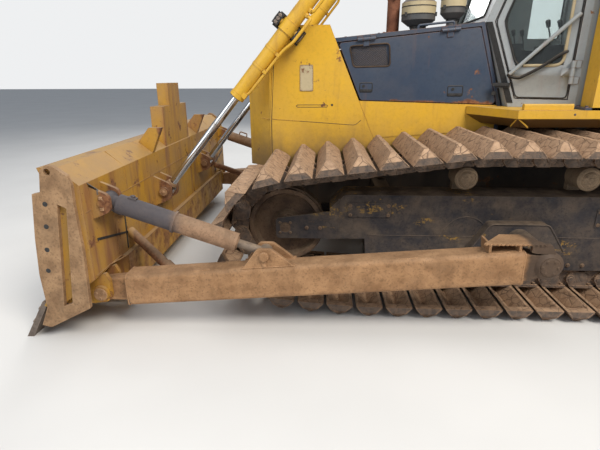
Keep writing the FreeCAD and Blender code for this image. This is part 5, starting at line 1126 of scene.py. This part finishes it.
def make_cab_seals():
    """Seals of the windows and doors, the strip on the front post, door levers and latches."""
    seals = Piece("window_seals")
    for z_low, z_high, half in ((2.07, 2.9, 0.4), (1.56, 1.95, 0.36)):
        corners = []
        for y, z in ((half, z_low), (half, z_high), (-half, z_high), (-half, z_low)):
            corners.append((cab_front(z) + 0.002, y, z))
        seals.tube(corners, 0.009, 0.035, 8, closed=True)
    rear = -1.642
    seals.tube([(rear, 0.64, 1.98), (rear, 0.64, 2.9), (rear, -0.64, 2.9), (rear, -0.64, 1.98)], 0.009,
               0.035, 8, closed=True)
    for side in (1, -1):
        y = side * 0.832
        seals.tube([(-1.57, y, 1.98), (-1.24, y, 1.98), (-1.24, y, 2.9), (-1.57, y, 2.9)], 0.009, 0.035, 8,
                   closed=True)
    seals.place("rubber", "tractor", "dark_steel")
    for word, side in SIDES:
        trim = Piece(f"door_seal_{word}")
        sill = Piece(f"door_sill_{word}")
        for margin, low, depth, radius in ((0.07, 1.7, 0.005, 0.008), (0.012, 1.472, 0.003, 0.005)):
            high, back = 3.06 - 0.13 - margin, -0.6295
            ahead = 0.06 + margin
            corners = [(post_edge(z) - ahead, z) for z in (low, KNEE_Z, high)]
            corners += [(back + margin, high), (back + margin, low)]
            path = [on_side(s, depth, z, side) for s, z in corners]
            trim.tube(path, radius, 0.06 if margin > 0.05 else 0.03, 8, closed=True)
            if margin > 0.05:
                path = [on_side(post_edge(low) - ahead - 0.05, depth, low, side), path[4], path[3]]
                sill.tube(path, radius + 0.003, 0.06, 8)
        trim.place("rubber", f"cab_door_{word}", "dark_steel")
        sill.place("cream_paint", f"cab_door_{word}", "cab_paint")
        strip = Piece(f"cab_post_strip_{word}")
        foot = 1.43
        corners = [(0, foot), (0, KNEE_Z), (0.044, KNEE_Z), (0.044, foot)]
        strip.plate([on_side(post_edge(z) - inset, 0, z, side) for inset, z in corners],
                    on_side(0, -0.003, 0, side) - on_side(0, 0, 0, side))
        strip.place("rubber", "tractor", "dark_steel")
        lever = Piece(f"door_lever_{word}")
        places = ((-0.206, -0.004, 1.636), (-0.215, -0.03, 1.628), (-0.283, -0.032, 1.608),
                  (-0.418, -0.032, 1.683), (-0.52, -0.032, 1.762), (-0.56, -0.03, 1.786),
                  (-0.572, -0.004, 1.792))
        lever.tube([on_side(s, depth, z, side) for s, depth, z in places], 0.0115, 0.05)
        lever.place("rubber", f"cab_door_{word}", "dark_steel")
        fit = Piece(f"door_fittings_{word}")
        lean = (0, 0, -side * CAB_TURN)
        fit.block(on_side(-0.175, -0.006, 1.56, side), (0.1, 0.02, 0.036), lean)
        fit.block(on_side(-0.165, -0.03, 1.566, side), (0.12, 0.012, 0.02), lean)
        fit.rod(on_side(-0.12, 0.0, 1.5, side), on_side(-0.12, -0.012, 1.5, side), 0.016, 20)
        for s, z in ((-0.216, 1.663), (-0.232, 1.64), (-0.596, 2.034), (-0.616, 2.012)):
            fit.rod(on_side(s, 0.002, z, side), on_side(s, -0.006, z, side), 0.007, 8)
        fit.place("dark_steel", f"cab_door_{word}", "dark_steel")


def make_door_glazing():
    """Copies of the doors with their pane as a piece of its own."""
    for word, side in SIDES:
        node = NODES[f"cab_door_{word}"]
        form = bmesh.new()
        form.from_mesh(node.data)
        bmesh.ops.transform(form, matrix=node.matrix_world, verts=form.verts)
        bmesh.ops.remove_doubles(form, verts=form.verts, dist=0.00002)

        def depth(vert):
            place = vert.co
            return -((place.x - KNEE_X) * math.sin(CAB_TURN) + (side * place.y - 0.5) * math.cos(CAB_TURN))
        glass = []
        for face in form.faces:
            depths = [depth(vert) for vert in face.verts]
            for level in (0.02, 0.028):
                flat = all(abs(value - level) < 0.0006 for value in depths)
                if flat and face.calc_center_median().z > 1.69:
                    glass.append(face)
        corners = [vert.co.copy() for vert in {vert for face in glass for vert in face.verts}]
        bmesh.ops.delete(form, geom=glass, context="FACES")
        open_edges = [edge for edge in form.edges if edge.is_boundary]
        if len(open_edges) > 6:
            bmesh.ops.bridge_loops(form, edges=open_edges)
        door = f"cab_door_{word}"
        add_mesh(f"{door}_frame", form, "cab_paint", door, door)
        pane = Piece(f"cab_door_{word}_pane")
        middle = sum(corners, Vector()) / len(corners)
        for corner in corners:
            pane.form.verts.new(middle + (corner - middle) * 1.004)
        bmesh.ops.convex_hull(pane.form, input=pane.form.verts)
        pane.place("pane", f"cab_door_{word}", "pane", instead_of=f"cab_door_{word}")


def pillow(name, centre, size, turn, crown, channels, squareness=5.0):
    """A stuffed cushion: rounded block with a crowned face and sewn channels across it."""
    form = bmesh.new()
    bmesh.ops.create_cube(form, size=2.0)
    bmesh.ops.subdivide_edges(form, edges=form.edges, cuts=27, use_grid_fill=True)
    half = Vector(size) / 2
    for vert in form.verts:
        x, y, z = vert.co
        norm = (abs(x) ** squareness + abs(y) ** squareness + abs(z) ** squareness) ** (1 / squareness)
        x, y, z = x / norm, y / norm, z / norm
        pull = 1 - 0.035 * (1 - abs(x) ** 2) * abs(y) ** 6 - 0.02 * abs(z) ** 4
        puff = crown * (1 - x * x) * (1 - y * y) * (1 if z > 0 else 0.15)
        groove = 0.0
        if z > 0.3 and abs(y) < 0.86:
            for line in channels:
                groove += 0.011 * math.exp(-((x - line) / 0.045) ** 2)
        ruck = 0.0016 * math.sin(31 * y + 9 * x) * (1 - x * x) * (1 - y * y)
        seam = 0.004 * math.exp(-((abs(z) - 0.55) / 0.05) ** 2) if max(abs(x), abs(y)) > 0.9 else 0.0
        vert.co = Vector((x * half.x * pull - math.copysign(seam, x) * (abs(x) > 0.9),
                          y * half.y * pull - math.copysign(seam, y) * (abs(y) > 0.9),
                          z * half.z + puff - groove + ruck))
    place = Matrix.Translation(centre) @ Euler(turn).to_matrix().to_4x4()
    bmesh.ops.transform(form, matrix=place, verts=form.verts)
    add_mesh(name, form, "cushion", "tractor", "seat", crease=None)


def make_seat():
    pillow("seat_cushion_pad", (-1.21, 0, 1.716), (0.5, 0.5, 0.14), (0, 0, 0), 0.012, (-0.45, 0.0, 0.45))
    lean = math.atan2(0.1, 0.64)
    pillow("seat_back_pad", (-1.437, 0, 2.1), (0.63, 0.46, 0.125), (0, -math.pi / 2 - lean, math.pi), 0.012,
           (-0.5, -0.1, 0.3), 4.0)
    base = Piece("seat_base_frame")
    base.block((-1.25, 0, 1.64), (0.4, 0.44, 0.02))
    base.block((-1.25, 0, 1.462), (0.4, 0.44, 0.022))
    for index in range(6):
        z = 1.484 + 0.024 * index
        reach = 0.186 if index % 2 else 0.176
        base.block((-1.25, 0, z + 0.012), (2 * reach, 2 * reach + 0.04, 0.024))
    for y in (-0.225, 0.225):
        base.rod((-1.43, y, 1.47), (-1.43, y, 1.64), 0.012, 12)
    base.place("trim_plastic", "tractor", "trim_plastic", instead_of="seat")


def make_controls():
    """Levers on the consoles, dials on the dash and a steering lever."""
    levers = Piece("levers")
    for side, places in ((1, (-1.02, -0.93)), (-1, (-1.06, -0.98, -0.9))):
        for x in places:
            levers.rod((x, side * 0.4, 1.846), (x, side * 0.4, 1.862), 0.026, 20, 0.018)
            stick = ((0, 0.4, 1.856), (0.01, 0.4, 1.93), (0.03, 0.395, 1.99))
            levers.tube([(x + ahead, side * y, z) for ahead, y, z in stick], 0.006, 0.03)
            levers.rod((x + 0.028, side * 0.395, 1.985), (x + 0.04, side * 0.395, 2.03), 0.014, 16, 0.019)
            levers.rod((x + 0.04, side * 0.395, 2.03), (x + 0.043, side * 0.395, 2.04), 0.019, 16, 0.01)
    for y in (-0.14, 0.0, 0.14):
        levers.rod((-0.792, y, 1.82), (-0.802, y, 1.82), 0.044, 28, 0.04)
        levers.rod((-0.802, y, 1.82), (-0.803, y, 1.82), 0.036, 28)
    for y in (-0.16, 0.16):
        levers.tube([(-0.7, y, 1.452), (-0.74, y, 1.5), (-0.79, y, 1.56)], 0.008, 0.02)
        levers.block((-0.8, y, 1.572), (0.06, 0.09, 0.012), (0, -0.7, 0))
    levers.place("trim_plastic", "tractor", "trim_plastic")


def make_rear_details():
    """Lamp lenses, post flanges, tank straps, fender bolts and covers on the hull."""
    lamps = Piece("lamp_rims")
    lens = Piece("lamp_lenses")
    for y in (-0.62, 0.62):
        for x, way in ((-0.926, 1), (-1.294, -1)):
            centre = Vector((x, y, 3.134))
            ahead = ALONG * way
            lamps.tube(ring_of(centre + ahead * 0.001, ACROSS, UP, 0.058, 16), 0.004, 0.01, 6, closed=True)
            lens.rod(centre - ahead * 0.002, centre + ahead * 0.004, 0.0555, 36, 0.048)
            lens.rod(centre + ahead * 0.003, centre + ahead * 0.008, 0.046, 36, 0.03)
    lamps.place("dark_steel", "tractor", "dark_steel")
    lens.place("lens", "tractor", "pane")
    flanges = Piece("post_flanges")
    for side in (1, -1):
        flanges.block((-1.11, side * 0.925, 1.4085), (0.29, 0.15, 0.018))
        for x in (-1.236, -0.984):
            for y in (0.872, 0.978):
                flanges.bolt((x, side * y, 1.4175), UP, 0.011, 0.012)
        for z in (3.05, 3.18):
            flanges.tube([(-1.211, side * 0.925, z - 0.1), (-1.009, side * 0.925, z - 0.1)], 0.004, 0.02, 6)
        for x in (-2.3, -2.000, -1.8, -1.35, -0.9):
            flanges.rod((x, side * 1.009, 1.372), (x, side * 1.0135, 1.372), 0.009, 12, 0.005)
    flanges.place("hood_paint", "tractor", "hood_paint")
    straps = Piece("tank_straps")
    for x in (-2.42, -1.88):
        corners = [(x, 0.533, 1.25), (x, 0.533, 1.902), (x, -0.533, 1.902), (x, -0.533, 1.25)]
        straps.tube(corners, 0.006, 0.008, 4)
        straps.block((x, 0.534, 1.56), (0.05, 0.008, 0.62))
        straps.block((x, -0.534, 1.56), (0.05, 0.008, 0.62))
        straps.block((x, 0, 1.903), (0.05, 1.06, 0.008))
    for place in ring_of((-2.15, 0.33, 1.901), ALONG, ACROSS, 0.075, 6):
        straps.bolt(place, UP, 0.006, 0.005)
    straps.place("frame_paint", "tractor", "frame_paint")
    covers = Piece("rear_covers")
    covers.block((-2.563, 0, 0.9), (0.012, 0.52, 0.42))
    covers.rod((-2.56, 0, 0.9), (-2.592, 0, 0.9), 0.12, 36, 0.112)
    for y in (-0.24, 0.24):
        for z in (0.71, 0.84, 0.96, 1.09):
            covers.bolt((-2.569, y, z), (-1, 0, 0), 0.011, 0.01)
    covers.bolts(ring_of((-2.591, 0, 0.9), ACROSS, UP, 0.092, 8), (-1, 0, 0), 0.009, 0.008)
    covers.place("frame_paint", "tractor", "frame_paint")


make_camera()
make_room()
dress_nodes()
make_tracks()
make_wheel_details()
make_frame_details()
make_blade_details()
make_arm_details()
make_cylinder_details()
make_guard_details()
make_side_details()
make_top_details()
make_cab_seals()
make_door_glazing()
make_seat()
make_controls()
make_rear_details()
